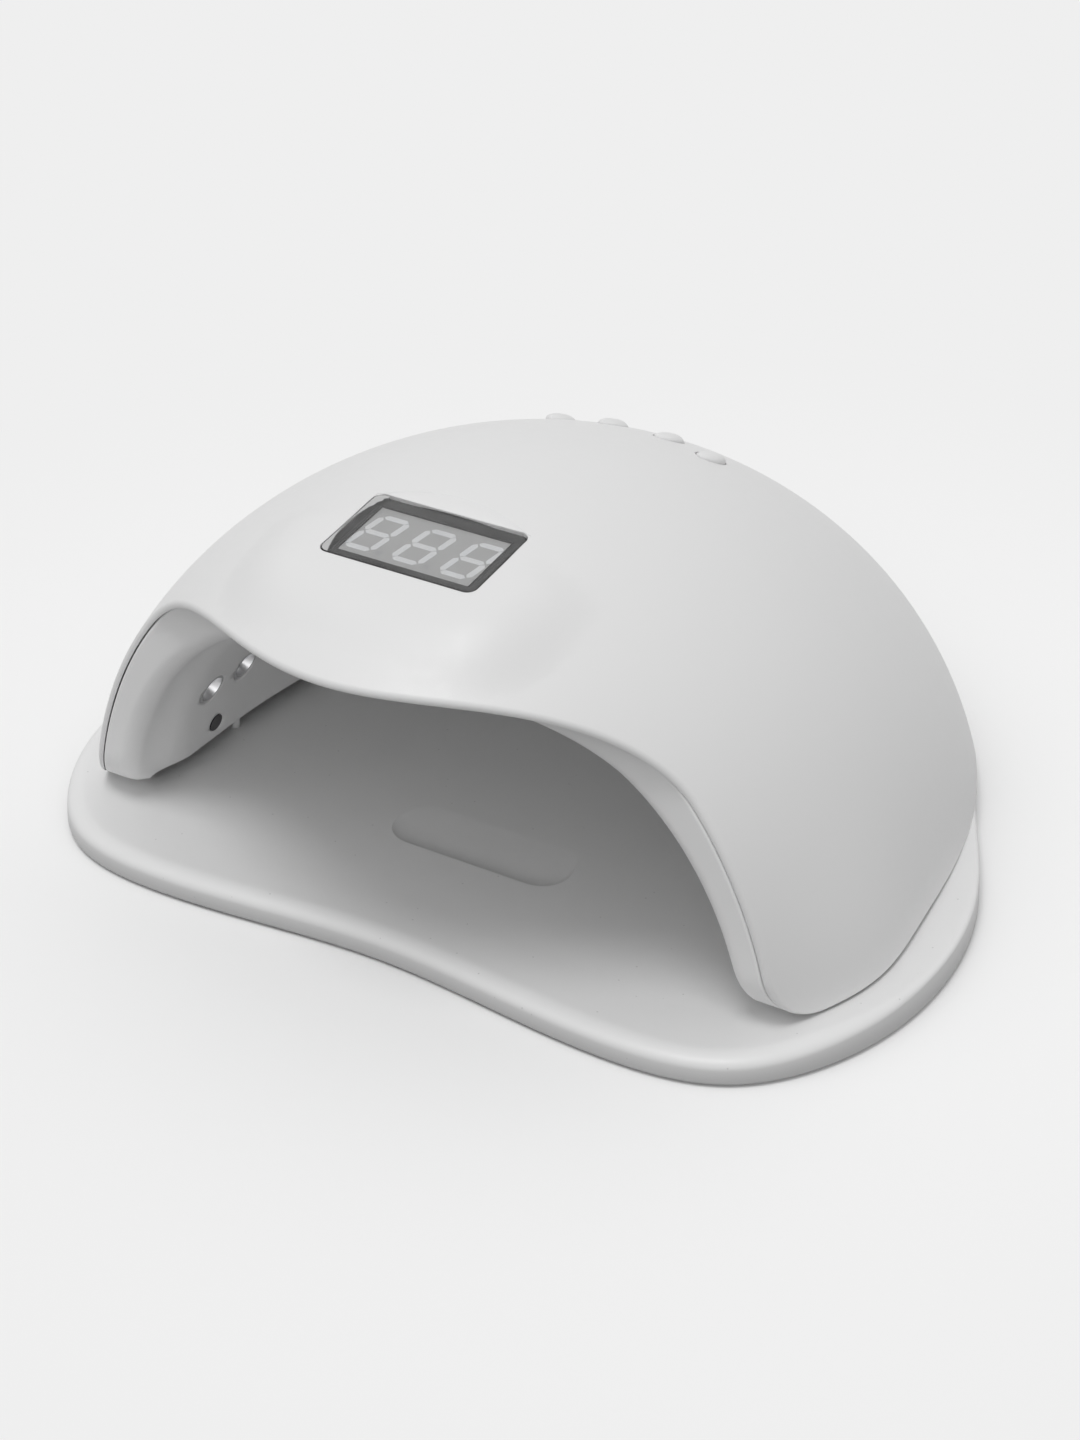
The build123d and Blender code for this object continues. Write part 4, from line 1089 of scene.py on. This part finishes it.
# the points after the digits are dark: only the bars catch the light
POINTS_X, POINTS_Y, POINT_REACH = (-8.05, 4.65, 17.35), -6.3, (0.99, 1.0)
segment = Finish("digit_bars", IOR=1.5, Subsurface_Weight=0.15)
place = segment.place()
cloud = segment.noise(place, 0.6, 3.0)
shade = segment.mix(cloud, (0.78, 0.78, 0.78), (0.72, 0.72, 0.72))
for x in POINTS_X:
    middle = on_window(x, POINTS_Y, FACE_LEVEL)
    near = segment.node("VectorMath", {0: place, 1: middle}, output="Value", operation="DISTANCE")
    dim = segment.ramp(near, (0.0, 1.0), (POINT_REACH[0], 1.0), (POINT_REACH[1], 0.0))
    shade = segment.mix(dim, shade, (0.33, 0.33, 0.33))
fine = segment.noise(place, 4.0)
finish_node(segment.paint(shade, cloud * 0.1 + 0.3, fine, 0.15, 0.00002), "display_segments")


def clear_sheet(name, haze, colour, roughness, loose=False):
    """A clear sheet: it lets light straight through, but for its gloss and a little haze."""
    finish = Finish(name, Roughness=roughness, IOR=1.45)
    finish.shader.inputs["Base Color"].default_value = (*colour, 1)
    place = finish.place()
    smear = finish.noise(place, 0.12, 4.0)
    gloss = finish.node("Fresnel", {"IOR": 1.45}) * (1 - finish.node("NewGeometry", output="Backfacing"))
    factor = gloss * 0.7 + smear * haze
    if loose:
        # the film has come up along its left edge, most of all at the corners, where it turns milky
        finish.bump(finish.noise(place, 0.25, 3.0), 0.5, 0.0002)
        axes = finish.node("SeparateXYZ", {0: place})
        x, y = axes, Wire(finish, axes.socket.node.outputs["Y"])
        along = (y - WINDOW_ORIGIN.y) / (WINDOW_SIZE[1] / 2)
        ragged = finish.noise(place, 0.9, 3.0) * 1.6
        reach = along * along * 2.6 + ragged * finish.maths("MAXIMUM", along, 0.0)
        factor = factor + finish.node("MapRange", {
            "Value": x - reach, "From Min": -20.4, "From Max": -20.1, "To Min": 0.7, "To Max": 0.0
        })
    clear = finish.node("BsdfTransparent", {"Color": (1, 1, 1, 1)})
    finish.show(finish.overlay(factor, clear))
    return finish.material


finish_node(clear_sheet("window_acrylic", 0.02, (0.5, 0.5, 0.5), 0.06), "display_window")
finish_node(clear_sheet("film_clear", 0.05, (0.62, 0.62, 0.62), 0.12, loose=True), "window_film")


# ------------ inside the head
# Green boards with their parts, the lights in their bright cups, and the sensor pair.
board = Finish("board_green", Roughness=0.35)
place = board.place()
lanes = board.node("TexBrick", {
    "Vector": place, "Scale": 0.16, "Mortar Size": 0.03, "Color1": (0, 0, 0, 1), "Color2": (0, 0, 0, 1),
    "Mortar": (1, 1, 1, 1),
}, output="Color")
cloud = board.noise(place, 0.2, 3.0)
shade = board.mix(cloud, (0.015, 0.085, 0.035), (0.010, 0.060, 0.025))
shade = board.mix(lanes, shade, (0.03, 0.14, 0.06))
board_green = board.paint(shade, cloud * 0.15 + 0.28, lanes, 0.3, 0.00003)
finish_node(board_green, "display_board", "key_board", "driver_board")


def finish_small_parts(*rows):
    """Each row is the names of the nodes and the values of their finish, as small_part takes them."""
    for names, *values in rows:
        finish_node(small_part(*values), *names.split())


finish_small_parts(
    ("base_screws liner_screws display_board_screws key_board_screws driver_board_screws inlet_nut "
     "magnet_keepers head_magnets", "screw_steel", (0.55, 0.55, 0.56), 0.32, 1.0, 0.15, 0.4, 1.2),
    ("reflector_cups", "cup_chrome", (0.80, 0.80, 0.81), 0.3, 1.0, 0.08, 0.2, 1.0),
    ("led_boards", "lamp_aluminium", (0.62, 0.62, 0.64), 0.35, 1.0, 0.12, 0.4, 1.4),
    ("led_chips", "light_chip", (0.72, 0.62, 0.30), 0.25, 0.0, 0.15, 0.2, 3.0, 0.6),
    ("sensor_receiver sensor_emitter", "sensor_dark", (0.018, 0.016, 0.02), 0.12, 0.0, 0.2, 0.05, 1.0, 0.5),
    ("driver_chip buzzer", "chip_epoxy", (0.025, 0.025, 0.027), 0.45, 0.0, 0.2, 0.5, 2.0),
    ("driver_coils", "coil_ferrite", (0.10, 0.095, 0.09), 0.6, 0.0, 0.25, 0.7, 1.5),
    ("driver_capacitors", "can_sleeve", (0.60, 0.61, 0.63), 0.3, 1.0, 0.1, 0.2, 1.0),
    ("driver_sockets", "socket_nylon", (0.72, 0.70, 0.64), 0.5, 0.0, 0.08, 0.3, 1.5),
    ("key_switches switch_stem_10s switch_stem_30s switch_stem_60s switch_stem_99s", "switch_black",
     (0.03, 0.03, 0.03), 0.4, 0.0, 0.2, 0.4, 1.5),
)


# ------------ pads, feet and inlet
# Soft white pads under the head, dark rubber feet under the tray, and the round power inlet.
finish_small_parts(
    ("head_pads", "pad_silicone", (0.66, 0.66, 0.65), 0.55, 0.0, 0.08, 0.3, 1.5),
    ("base_feet", "foot_rubber", (0.05, 0.05, 0.05), 0.8, 0.0, 0.2, 0.8, 1.5),
    ("power_inlet", "inlet_black", (0.022, 0.022, 0.023), 0.35, 0.0, 0.2, 0.4, 1.5),
    ("inlet_pin", "pin_brass", (0.72, 0.55, 0.27), 0.25, 1.0, 0.15, 0.2, 2.0),
)
